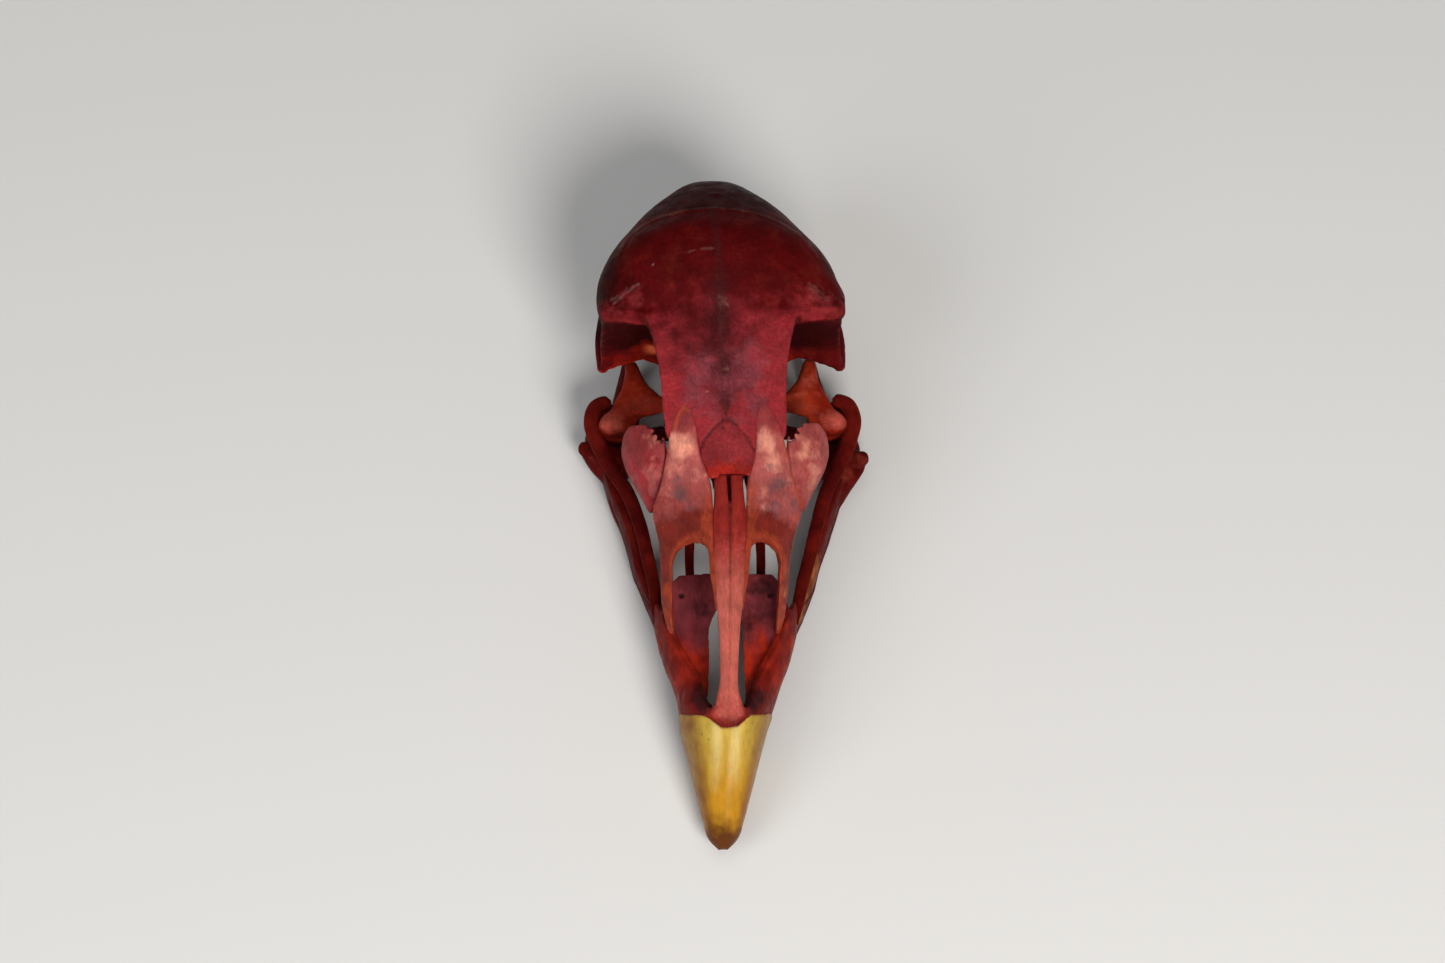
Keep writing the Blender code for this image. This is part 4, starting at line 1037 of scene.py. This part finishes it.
def rod_tree():
    """Geometry Nodes that skin a drawn path into a bar of bone with an oval section."""
    tree = bpy.data.node_groups.new("bone_bar", "GeometryNodeTree")

    def socket(name, kind, way="INPUT"):
        return tree.interface.new_socket(
            name=name, in_out=way, socket_type=f"NodeSocket{kind}").identifier

    socket("Path", "Geometry")
    settings = [socket("Sides", "Int"), socket("Height To Width", "Float"),
                socket("Finish", "Material")]
    socket("Bar", "Geometry", "OUTPUT")
    given, result, curve, upright, width, circle, squash, scale, skin, real, paint = (
        tree.nodes.new(kind) for kind in (
            "NodeGroupInput", "NodeGroupOutput", "GeometryNodeMeshToCurve",
            "GeometryNodeSetCurveNormal", "GeometryNodeInputNamedAttribute",
            "GeometryNodeCurvePrimitiveCircle", "GeometryNodeTransform", "ShaderNodeCombineXYZ",
            "GeometryNodeCurveToMesh", "GeometryNodeRealizeInstances", "GeometryNodeSetMaterial"))
    upright.mode = "Z_UP"
    width.data_type = "FLOAT"
    width.inputs["Name"].default_value = "half_width"
    circle.inputs["Radius"].default_value = 1
    scale.inputs["Y"].default_value = 1
    scale.inputs["Z"].default_value = 1
    skin.inputs["Fill Caps"].default_value = True
    for source, output, target, entry in (
        (given, "Path", curve, "Mesh"), (curve, "Curve", upright, "Curve"),
        (upright, "Curve", skin, "Curve"), (width, "Attribute", skin, "Scale"),
        (given, "Sides", circle, "Resolution"), (circle, "Curve", squash, "Geometry"),
        (given, "Height To Width", scale, "X"), (scale, "Vector", squash, "Scale"),
        (squash, "Geometry", skin, "Profile Curve"), (skin, "Mesh", real, "Geometry"),
        (real, "Geometry", paint, "Geometry"), (given, "Finish", paint, "Material"),
        (paint, "Geometry", result, "Bar"),
    ):
        tree.links.new(source.outputs[output], target.inputs[entry])
    return tree, *settings


def rod(rows, flatness, material, tree, steps=120, around=26):
    """A bar along a path, made by the tree. A row holds a point and the half width."""
    rows = through(rows, steps)
    reach = np.cumsum(np.concatenate([[0], np.linalg.norm(np.diff(rows[:, :3], axis=0), axis=1)]))
    from_end = np.minimum(reach, reach[-1] - reach)
    inside = np.clip(1 - from_end / rows[:, 3], 0, 1)
    width = rows[:, 3] * np.sqrt(np.maximum(1 - inside**2, 0.02))
    mesh = bpy.data.meshes.new("path")
    mesh.from_pydata(rows[:, :3].tolist(), [(i, i + 1) for i in range(steps - 1)], [])
    mesh.attributes.new("half_width", "FLOAT", "POINT").data.foreach_set("value", width)
    obj = shown("path", mesh)
    group, sides, ratio, finish = tree
    bar = obj.modifiers.new("Bar", "NODES")
    bar.node_group = group
    bar[sides], bar[ratio], bar[finish] = around, flatness, material
    mesh = plain_mesh(obj)
    body = bmesh.new()
    body.from_mesh(mesh)
    bmesh.ops.remove_doubles(body, verts=body.verts, dist=1e-5)
    bmesh.ops.recalc_face_normals(body, faces=body.faces)
    body.to_mesh(mesh)
    body.free()
    return Bone(mesh)


def jugal(side, material, tree):
    """The slim cheek bar, which hooks round the quadrate. The right one sags inward a little."""
    sag = 0 if side > 0 else 0.78
    path = [(7.25, -12.4, 0.5, 0.3), (7.75 - 0.3 * sag, -10, 0.2, 0.36),
            (8.35 - 0.8 * sag, -7.2, 0, 0.4), (9.2 - sag, -3.9, 0, 0.42),
            (10.1 - sag, 0.2, 0, 0.44), (11.2 - 0.55 * sag, 4.2, 0, 0.46),
            (12.8, 7.8, 0, 0.5), (14, 10.8, 0, 0.54), (14.45, 13, 0, 0.56),
            (13.8, 14.9, 0, 0.54), (12.3, 15.6, 0, 0.46)]
    bone = rod([(side * x, y, JUGAL_Z + z, half) for x, y, z, half in path], 1.7, material, tree)
    p = bone.points
    bone.push(0.05 * ripple(p, (1.2, 2.2, 1.2), 71) + 0.015 * ripple(p, (0.2, 0.7, 0.2), 72))
    # Painted highlight on the upward faces and warm tone on the rear hook; painted shade
    # underneath.
    bone.masks = {"glow": np.maximum(bone.upward(0.2, 0.9) * (0.45 + 0.4 * ripple(p, 2.4, 73)),
                                     fade(p[:, 1], 8, 11)),
                  "dark": 1 - bone.upward(-0.6, 0.3)}
    return bone


def pterygoid(side, material, tree):
    """The short rod between the palate and the quadrate."""
    bone = rod([(side * 2.4, 11.3, 5.4, 0.7), (side * 5.6, 11.5, 5.7, 0.6),
                (side * 8.9, 11.6, 6, 0.75)], 0.95, material, tree, steps=60, around=20)
    bone.push(0.03 * ripple(bone.points, 0.8, 74))
    # Painted shade over the whole rod.
    bone.masks = {"dark": np.full(len(bone.points), 0.5)}
    return bone


# --- Lower jaw -----------------------------------------------------------------------------


def mandible():
    """Both jaw branches with their joint blocks and long tails, and the chin."""
    ramus = slab([
        (3.7, -24.4, 4.3, 3.3, -24.4, 0, 1.6, 0.2), (5, -20, 4.6, 4.6, -20, 0.1, 1.6, 0.2),
        (6.5, -14.5, 4.6, 6.2, -14.5, 0.6, 1.6, 0.2), (8.1, -9, 4.8, 8, -9, 1, 1.6, 0.3),
        (10, -3.5, 5.1, 10, -3.5, 0.8, 1.7, 0.4), (11.5, 1.5, 5.4, 11.6, 1.5, 0.3, 1.8, 0.4),
        (12.9, 6, 4.7, 12.9, 6, 0, 2, 0.3), (13.8, 9.6, 3.8, 13.6, 9.6, 0, 2.4, 0.2),
    ], facing=(1, 0, 0), steps=60)
    joint = ellipsoid((12.3, 11.4, 1.9), (2.7, 3.4, 2))
    knob = sweep([(12.2, 9.2, 2.7, 2.9, 1.9), (13.9, 9.5, 3, 2.1, 1.4),
                  (15.1, 9.8, 3.3, 0.9, 0.7)])
    tail = sweep([(12.2, 12.6, 1.4, 1.2, 1.6), (11.4, 16.4, 1.2, 1.1, 1.5),
                  (10.7, 19.6, 1.3, 1, 1.5), (10.2, 21.6, 3.6, 0.7, 1)])
    inner_spur = sweep([(11.4, 12, 2.4, 1.2, 1.1), (8.8, 12.9, 2.7, 0.9, 0.9),
                        (6.8, 13.5, 3.2, 0.6, 0.6)])
    shelf = ellipsoid((12.7, 15.2, 2), (1.6, 2.3, 1.5))
    chin = level_slab([(3.2, -24.4, 1.6, 1.6, -0.5), (3.3, -23, 1.5, 1.3, -0.5),
                       (3, -21.8, 1.3, 0.9, -0.4)], steps=20)
    left_buttress = sweep([(14.5, 9, 3, 0.9, 0.8), (13.1, 6.4, 2.9, 0.95, 1),
                           (11.8, 3.6, 3, 0.7, 1)])
    below_floor = box((-30, -60, -12), (30, 60, 0))
    cup = ellipsoid((11.6, 12.2, 4.4), (1.9, 1.2, 1))
    window = ellipsoid((12.6, 3.4, 2.9), (1.2, 1.5, 0.38), (6, 0, 0))
    bone = fused([chin, left_buttress, *both([ramus, joint, knob, tail, inner_spur, shelf])],
                 [below_floor, *both([cup, window])], FINE_VOXEL, 4)
    p = bone.points
    x, y, z = p.T
    # The two sides of the real jaw differ a little.
    y += 1.5 * fade(x, -12.3, -15.2)
    x += (0.35 * fade(x, 13.4, 15.4) - 0.4 * fade(x, -13, -15)
          + 0.4 * fade(x, -6, -8.5) * band(y, -5, 0, 1, 6)
          + 0.35 * fade(x, 5, 7) * band(y, -13, -9.5, -7, -3))
    clear = fade(z, 0.02, 0.5)
    outer = fade(abs(bone.normals()[:, 0]), 0.4, 0.8) * fade(y, 10, 6)
    beside = np.stack([y, z], 1)
    groove = outer * line(beside, [(-24, 2.2), (-14, 2.6), (-4, 3.2), (4, 3)], 0.5)
    suture = outer * line(beside, [(-9, 4.8), (-5.5, 3), (-1, 1.6), (3, 0.4)], 0.28)
    bone.push(clear * (0.05 * ripple(p, (1, 2, 1), 81) + 0.018 * ripple(p, (0.3, 1.2, 0.3), 82)
                       - 0.12 * groove - 0.10 * suture))
    ridges = bone.ridges()
    up = bone.upward(0.1, 0.7)
    bone.masks = {
        # Painted highlight on the upward faces and ridges.
        "glow": np.maximum(up * (0.45 + 0.35 * ripple(p, 2.2, 83)), 0.5 * fade(ridges, 0.3, 0.9)),
        "straw": fade(x, 5, 6) * band(y, -20, -14, -7, 1) * fade(z, 3.1, 4.2)
        * (0.6 + 0.4 * ripple(p, (1, 2.2, 1), 84)),
        "seam": 0.7 * np.maximum(groove * 0.4, suture),
        # Painted shade low down, towards the floor.
        "dark": 0.6 * fade(z, 2.2, 0.2),
        "pale": spots(wander(p, 1.2, 0.6, 85), [(14.8, 9.4, 4, 2, 0.3), (13.4, 7.4, 4, 2.2, 0.45),
                                                (-14.6, 9.8, 3.9, 1.6, 0.2)]),
    }
    return bone


def lower_horn():
    """The horn tip of the lower jaw, a shallow scoop inside the edges of the upper one."""
    # A station holds 0, y, edge height, half width, underside, floor of the scoop.
    stations = [
        (0, -34.2, 1.9, 0.4, 1.5, 1.85), (0, -33, 2.6, 1.25, 0.9, 2),
        (0, -31, 3.2, 2, 0.35, 2), (0, -28.8, 3.7, 2.65, 0, 2.1),
        (0, -26.6, 4.1, 3.2, 0, 2.1), (0, -24.6, 4.4, 3.8, 0, 2),
    ]
    turns = np.linspace(0, math.pi, 41)
    arc = np.minimum(1, 1.12 * np.sin(turns) ** 0.7)
    rings = []
    for _, y, edge, wide, bottom, hollow in through(stations, 60):
        level = y + 0 * turns
        outside = [wide * np.cos(turns), level, edge - (edge - bottom) * arc]
        inside = [0.72 * wide * np.cos(turns), level, edge - (edge - hollow) * np.sin(turns)]
        rings.append([*np.stack(outside, 1), *np.stack(inside, 1)[::-1]])
    bone = fused([skinned(rings)], (), FINE_VOXEL, 4)
    p = bone.points
    _, y, z = p.T
    growth = 0.01 * np.sin(y * math.tau / 0.6)
    bone.push(fade(z, 0.02, 0.5) * (growth + 0.03 * ripple(p, (1.2, 3, 1.5), 91)))
    bone.masks = {
        "amber": fade(y, -25, -33),
        "tip": fade(y, -30, -34.5),
        "side": fade(z, 2.6, 0.6),
        "rim": fade(y, -24.95, -24.65),
    }
    return bone


# --- Materials -----------------------------------------------------------------------------


# The part of the noise's range that is spread out where a colour or a gloss varies.
MIDDLE = (0.3, 0.7)


class Finish:
    """A material put together from a base colour and layers that follow a mesh's masks."""

    def __init__(self, name, base, specular):
        self.material = bpy.data.materials.new(name)
        self.material.use_nodes = True
        self.tree = self.material.node_tree
        self.shader = self.tree.nodes["Principled BSDF"]
        self.place = self.make("ShaderNodeTexCoord").outputs["Object"]
        self.colour = (*base, 1)
        self.shader.inputs["Specular IOR Level"].default_value = specular

    def make(self, kind, **settings):
        node = self.tree.nodes.new(kind)
        for key, value in settings.items():
            setattr(node, key, value)
        return node

    def give(self, socket, value):
        """Puts a number, a colour or another socket into a socket."""
        if isinstance(value, bpy.types.NodeSocket):
            self.tree.links.new(value, socket)
        else:
            socket.default_value = value

    def reckon(self, operation, first, second, clamp=False):
        node = self.make("ShaderNodeMath", operation=operation, use_clamp=clamp)
        self.give(node.inputs[0], first)
        self.give(node.inputs[1], second)
        return node.outputs[0]

    def spread(self, value, low, high, to_low, to_high):
        """The value's range from low to high, carried over to another range."""
        node = self.make("ShaderNodeMapRange", interpolation_type="SMOOTHSTEP")
        for name, number in zip(("Value", "From Min", "From Max", "To Min", "To Max"),
                                (value, low, high, to_low, to_high)):
            self.give(node.inputs[name], number)
        return node.outputs["Result"]

    def grain(self, size, detail=3, shift=None):
        """Noise whose lumps are `size` millimetres across, one number or one for each axis."""
        shift = len(self.tree.nodes) if shift is None else shift
        mapping = self.make("ShaderNodeMapping")
        mapping.inputs["Location"].default_value = (shift, 0.7 * shift, 0.3 * shift)
        mapping.inputs["Scale"].default_value = tuple(1 / (MM * np.broadcast_to(size, 3)))
        noise = self.make("ShaderNodeTexNoise")
        noise.inputs["Scale"].default_value = 1
        noise.inputs["Detail"].default_value = detail
        self.give(mapping.inputs["Vector"], self.place)
        self.give(noise.inputs["Vector"], mapping.outputs["Vector"])
        return noise.outputs["Fac"]

    def layer(self, mask, colour, strength=1, ragged=0, size=0.5):
        """Lays a colour over the rest where the mask is high, broken up by noise.

        The mask is one of the mesh's own, by name, or noise: a size, a detail, a shift and the
        two values between which it fades in.
        """
        if isinstance(mask, str):
            mask = self.make("ShaderNodeAttribute", attribute_name=mask).outputs["Fac"]
        else:
            *noise, low, high = mask
            mask = self.spread(self.grain(*noise), low, high, 0, 1)
        if ragged:
            lifted = self.reckon("MULTIPLY", mask, 1 + ragged)
            noise = self.spread(self.grain(size), 0.25, 0.75, 0, ragged)
            mask = self.reckon("SUBTRACT", lifted, noise, clamp=True)
        mix = self.make("ShaderNodeMix", data_type="RGBA")
        self.give(mix.inputs["Factor"], self.reckon("MULTIPLY", mask, strength, clamp=True))
        self.give(mix.inputs["A"], self.colour)
        self.give(mix.inputs["B"], (*colour, 1))
        self.colour = mix.outputs["Result"]

    def vary(self, size, low, high):
        """Makes the colour lighter and darker in lumps of `size` millimetres."""
        scale = self.make("ShaderNodeVectorMath", operation="SCALE")
        self.give(scale.inputs[0], self.colour)
        self.give(scale.inputs["Scale"], self.spread(self.grain(size, 4), *MIDDLE, low, high))
        self.colour = scale.outputs["Vector"]

    def relief(self, bumps):
        """Bump, one upon another. Each holds the lump size and the depth, in millimetres."""
        normal = None
        for size, depth in bumps:
            bump = self.make("ShaderNodeBump")
            bump.inputs["Strength"].default_value = 1
            bump.inputs["Distance"].default_value = depth * MM
            self.give(bump.inputs["Height"], self.grain(size, 2))
            if normal:
                self.give(bump.inputs["Normal"], normal)
            normal = bump.outputs["Normal"]
        if normal:
            self.give(self.shader.inputs["Normal"], normal)

    def gloss(self, low, high, size):
        noise = self.spread(self.grain(size), *MIDDLE, low, high)
        self.give(self.shader.inputs["Roughness"], noise)


CRIMSON = (0.080, 0.0022, 0.0028)
# Painted shade.
SHADE_MAROON = (0.018, 0.0009, 0.0012)
ROSE = (0.25, 0.019, 0.024)
GREY_ROSE = (0.17, 0.037, 0.048)
DULL_ROSE = (0.21, 0.019, 0.022)
SALMON = (0.34, 0.068, 0.062)
PALE_PINK = (0.66, 0.255, 0.175)
BUFF = (0.86, 0.50, 0.22)
SMUDGE = (0.14, 0.058, 0.062)
RUST = (0.34, 0.048, 0.016)
DEEP_RUST = (0.15, 0.012, 0.006)
AMBER_GLOW = (0.85, 0.16, 0.06)
DUST = (0.52, 0.32, 0.30)
SEAM_DARK = (0.045, 0.012, 0.012)
PURPLE_GREY = (0.18, 0.030, 0.038)
FLOOR_GREY = (0.70, 0.69, 0.675)

FINE_GRAIN = (0.1, 0.010)
# Each finish: its own colour and shine; the layers, which hold a mask or a noise, a colour, a
# strength, how ragged the border is and the size of the rags; where the colour varies, by lump
# size and range; the roughness range and its lump size; the bumps by size and depth; how far
# light spreads under the surface. Sizes are in millimetres.
# The maroon layers are painted shade; the warm and pale layers hold painted highlights as well as
# the bone's own tone.
FINISHES = {
    "skull_bone": dict(
        base=CRIMSON, specular=0.04,
        layers=[
            # In the skull's layers, the near-black valley colour is painted shade in the forehead
            # groove and the amber spot is a painted glow.
            ((2.2, 4, 9, 0.5, 0.75), RUST, 0.12), ("rose", ROSE, 1, 0.5, 1.6),
            ("grey", GREY_ROSE, 0.75, 0.7, 1), ("valley", (0.048, 0.006, 0.007), 0.9, 0.4, 0.9),
            ("plate", DULL_ROSE, 0.9, 0.2, 0.4), ("dark", SHADE_MAROON, 0.9, 0.3, 1.2),
            ("glow", (0.27, 0.010, 0.003), 0.9, 0.4, 0.9), ("spark", AMBER_GLOW, 0.9),
            ("edge", (0.30, 0.034, 0.038), 0.4, 0.6, 0.5), ("pale", BUFF, 0.8, 0.3, 0.2),
            ("scuff", DUST, 0.75, 0.12, 0.5), ("seam", SEAM_DARK, 0.75, 0.5, 0.35),
        ],
        vary=[(2.4, 0.80, 1.17), (0.35, 0.82, 1.16)],
        gloss=(0.42, 0.62, 1.4), bumps=[(0.32, 0.035), (0.11, 0.012)], depth=0.5),
    "thin_bone": dict(
        base=SALMON, specular=0.12,
        layers=[
            ("rose", DULL_ROSE, 0.85, 0.5, 0.7), ("rust", DEEP_RUST, 0.93, 0.4, 0.8),
            ("amber", (0.36, 0.050, 0.016), 0.75, 0.6, 0.7),
            ("blotch", (0.28, 0.014, 0.022), 0.8, 0.6, 0.7), ("pale", PALE_PINK, 0.9, 0.35, 0.5),
            ("smudge", SMUDGE, 0.8, 0.7, 0.45), ("glow", BUFF, 0.75, 0.4, 0.3),
            ("dark", SHADE_MAROON, 0.7), (((0.12, 0.9, 0.3), 3, 4, 0.62, 0.76), DUST, 0.12),
        ],
        vary=[(1.6, 0.80, 1.16), ((0.16, 0.8, 0.3), 0.86, 1.12)],
        gloss=(0.34, 0.5, 0.9), bumps=[((0.2, 1, 0.3), 0.03), FINE_GRAIN], depth=0.7),
    "bill_bone": dict(
        base=(0.14, 0.008, 0.005), specular=0.05,
        layers=[
            ("dark", SHADE_MAROON, 0.8, 0.4, 0.9), ("glow", (0.42, 0.026, 0.011), 0.9, 0.4, 1.1),
            ("purple", PURPLE_GREY, 0.85, 0.3, 0.9), ("bar", (0.26, 0.020, 0.015), 1),
            ("pink", (0.47, 0.110, 0.083), 0.9, 0.3, 0.6), ("pale", PALE_PINK, 0.65, 0.6, 0.35),
            ("smudge", (0.022, 0.005, 0.006), 0.88, 0.5, 0.6), ("seam", SEAM_DARK, 0.55, 0.4, 0.3),
        ],
        vary=[(1.8, 0.82, 1.16), ((0.13, 1.1, 0.3), 0.84, 1.12)],
        gloss=(0.30, 0.48, 0.9), bumps=[((0.14, 1.2, 0.3), 0.035), FINE_GRAIN], depth=0.6),
    "jaw_bone": dict(
        base=(0.070, 0.0032, 0.0027), specular=0.025,
        layers=[
            ("glow", (0.145, 0.008, 0.0045), 0.75, 0.6, 0.9),
            ("straw", (0.36, 0.12, 0.035), 0.8, 0.5, 0.8),
            ("pale", (0.36, 0.055, 0.035), 0.8, 0.5, 0.7), ("dark", SHADE_MAROON, 0.8, 0.4, 1),
            ("seam", SEAM_DARK, 0.7, 0.3, 0.4),
        ],
        vary=[(2, 0.8, 1.18), ((0.2, 0.8, 0.2), 0.86, 1.12)],
        gloss=(0.32, 0.5, 1), bumps=[((0.25, 1, 0.25), 0.02), FINE_GRAIN], depth=0.5),
    "joint_bone": dict(
        base=(0.20, 0.011, 0.004), specular=0.03,
        layers=[
            ("glow", (0.34, 0.034, 0.012), 0.8, 0.5, 0.8),
            ("pale", (0.46, 0.085, 0.060), 0.85, 0.4, 0.6), ("dark", SHADE_MAROON, 0.8, 0.4, 0.9),
        ],
        vary=[(1.4, 0.82, 1.15), (0.3, 0.88, 1.1)],
        gloss=(0.32, 0.48, 0.8), bumps=[(0.3, 0.03), FINE_GRAIN], depth=0.6),
    "horn": dict(
        base=(0.49, 0.325, 0.050), specular=0.08,
        layers=[
            ("amber", (0.44, 0.205, 0.009), 0.95, 0.15, 2),
            ("murk", (0.24, 0.16, 0.025), 0.45, 0.7, 0.7),
            # Painted highlight streaks along the top of the horn.
            ("pale", (0.66, 0.51, 0.19), 0.65, 0.15, 1.2),
            ("side", (0.20, 0.060, 0.003), 0.88, 0.2, 1.4),
            ("tip", (0.085, 0.020, 0.004), 0.95, 0.3, 0.8), ("pore", (0.12, 0.07, 0.02), 0.5),
            ("rim", (0.20, 0.025, 0.015), 0.85, 0.4, 0.2),
        ],
        vary=[((0.5, 3, 1.2), 0.92, 1.07), ((0.12, 2.4, 0.5), 0.94, 1.05)],
        gloss=(0.28, 0.4, 1), bumps=[((0.2, 3, 0.8), 0.003), (0.25, 0.002)], depth=0.9,
        spread_by_colour=(1, 0.55, 0.2), coat=(0.06, 0.25)),
}


def finished(name, base, specular, gloss, layers=(), vary=(), bumps=(), depth=0,
             spread_by_colour=(1, 0.3, 0.2), coat=(0, 0.03)):
    """The material for one entry of FINISHES."""
    finish = Finish(name, base, specular)
    for layer in layers:
        finish.layer(*layer)
    for lumps in vary:
        finish.vary(*lumps)
    finish.gloss(*gloss)
    finish.relief(bumps)
    values = {"Coat Weight": coat[0], "Coat Roughness": coat[1], "Base Color": finish.colour}
    if depth:
        values |= {"Subsurface Weight": SUBSURFACE_WEIGHT, "Subsurface Scale": depth * MM,
                   "Subsurface Radius": spread_by_colour}
    for socket, value in values.items():
        finish.give(finish.shader.inputs[socket], value)
    return finish.material


# --- Studio --------------------------------------------------------------------------------

CAMERA_ELEVATION = 63
CAMERA_AZIMUTH = -0.6
CAMERA_DISTANCE = 448
LENS, SENSOR = 105, 36
# The tip of the bill, and the pixel of the photograph's frame that it falls on.
AIM, AIM_PIXEL = (-0.5, -36.5, 2.5), (723.5, 850)
# Name, place in metres, diameter in metres, watts, tint.
LIGHTS = [("key", (0.16, -0.42, 0.40), 0.24, 3.3, (1, 0.975, 0.94)),
          ("fill", (-0.36, -0.26, 0.38), 0.36, 1.1, (0.95, 0.97, 1)),
          ("ceiling", (0, 0.1, 1.8), 1.6, 5.5, (1, 1, 1))]
LIGHTS_AIM = (0, 0, 0.01)
FLOOR_HALF_SIZE = 3
SKY_COLOUR, SKY_STRENGTH = (0.80, 0.81, 0.82, 1), 0.12


def add_camera():
    elevation, azimuth = math.radians(CAMERA_ELEVATION), math.radians(CAMERA_AZIMUTH)
    back = Vector((math.sin(azimuth) * math.cos(elevation),
                   -math.cos(azimuth) * math.cos(elevation), math.sin(elevation)))
    right = Vector((math.cos(azimuth), math.sin(azimuth), 0))
    up = back.cross(right)
    per_pixel = CAMERA_DISTANCE * SENSOR / (LENS * PHOTO_WIDTH)
    across = (AIM_PIXEL[0] - PHOTO_WIDTH / 2) * per_pixel
    above = (PHOTO_HEIGHT / 2 - AIM_PIXEL[1]) * per_pixel
    aim = Vector(AIM) - Vector((0, MIDDLE_Y, 0))
    place_mm = aim + back * CAMERA_DISTANCE - right * across - up * above
    data = bpy.data.cameras.new("camera")
    data.lens, data.sensor_width, data.clip_start = LENS, SENSOR, 0.01
    camera = shown("camera", data)
    turn = Matrix((right, up, back)).transposed().to_4x4()
    camera.matrix_world = Matrix.Translation(place_mm * MM) @ turn
    bpy.context.scene.camera = camera


def add_lights():
    for name, place_m, size, power, tint in LIGHTS:
        data = bpy.data.lights.new(name, "AREA")
        data.shape, data.size, data.energy, data.color = "DISK", size, power, tint
        light = shown(name, data)
        light.location = place_m
        ahead = Vector(LIGHTS_AIM) - Vector(place_m)
        light.rotation_euler = ahead.to_track_quat("-Z", "Y").to_euler()
    world = bpy.data.worlds.new("studio")
    world.use_nodes = True
    sky = world.node_tree.nodes["Background"].inputs
    sky["Color"].default_value, sky["Strength"].default_value = SKY_COLOUR, SKY_STRENGTH
    bpy.context.scene.world = world
    bpy.context.scene.view_settings.view_transform = "Standard"


def add_floor():
    mesh = bpy.data.meshes.new("floor")
    sheet = bmesh.new()
    bmesh.ops.create_grid(sheet, x_segments=1, y_segments=1, size=FLOOR_HALF_SIZE)
    sheet.to_mesh(mesh)
    sheet.free()
    mesh.materials.append(finished("pale_floor", FLOOR_GREY, 0.1, (0.7, 0.8, 20)))
    shown("floor", mesh)


def main():
    for obj in list(bpy.data.objects):
        bpy.data.objects.remove(obj)
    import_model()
    add_camera()
    add_floor()
    add_lights()
    skull, thin, bill, jaw, joint, yellow = (
        finished(name, **recipe) for name, recipe in FINISHES.items())
    tree = rod_tree()
    place(cranium(), "skull_roof_and_braincase", skull, "cranium", "crimson_bone")
    place(upper_bill(), "upper_bill_bone", bill, "upper_bill", "rose_bone")
    place(upper_horn(), "upper_horn_tip", yellow, "upper_sheath", "horn")
    place(mandible(), "lower_jaw", jaw, "mandible", "dark_red_bone")
    place(lower_horn(), "lower_horn_tip", yellow, "lower_sheath", "horn")
    for word, side in (("left", 1), ("right", -1)):
        for bone, name, material, node, slot in (
            (nasal(side), "nasal_bone", thin, "nasal", "salmon_bone"),
            (lacrimal(side), "lacrimal_bone", thin, "lacrimal", "salmon_bone"),
            (quadrate(side), "quadrate_bone", joint, "quadrate", "rose_bone"),
            (jugal(side, jaw, tree), "cheek_bar", jaw, "jugal", "dark_red_bone"),
            (palatine(side), "palate_strip", jaw, "palatine", "dark_red_bone"),
            (pterygoid(side, jaw, tree), "pterygoid_rod", jaw, "pterygoid", "dark_red_bone"),
        ):
            place(bone, f"{name}_{word}", material, f"{node}_{word}", slot)


main()
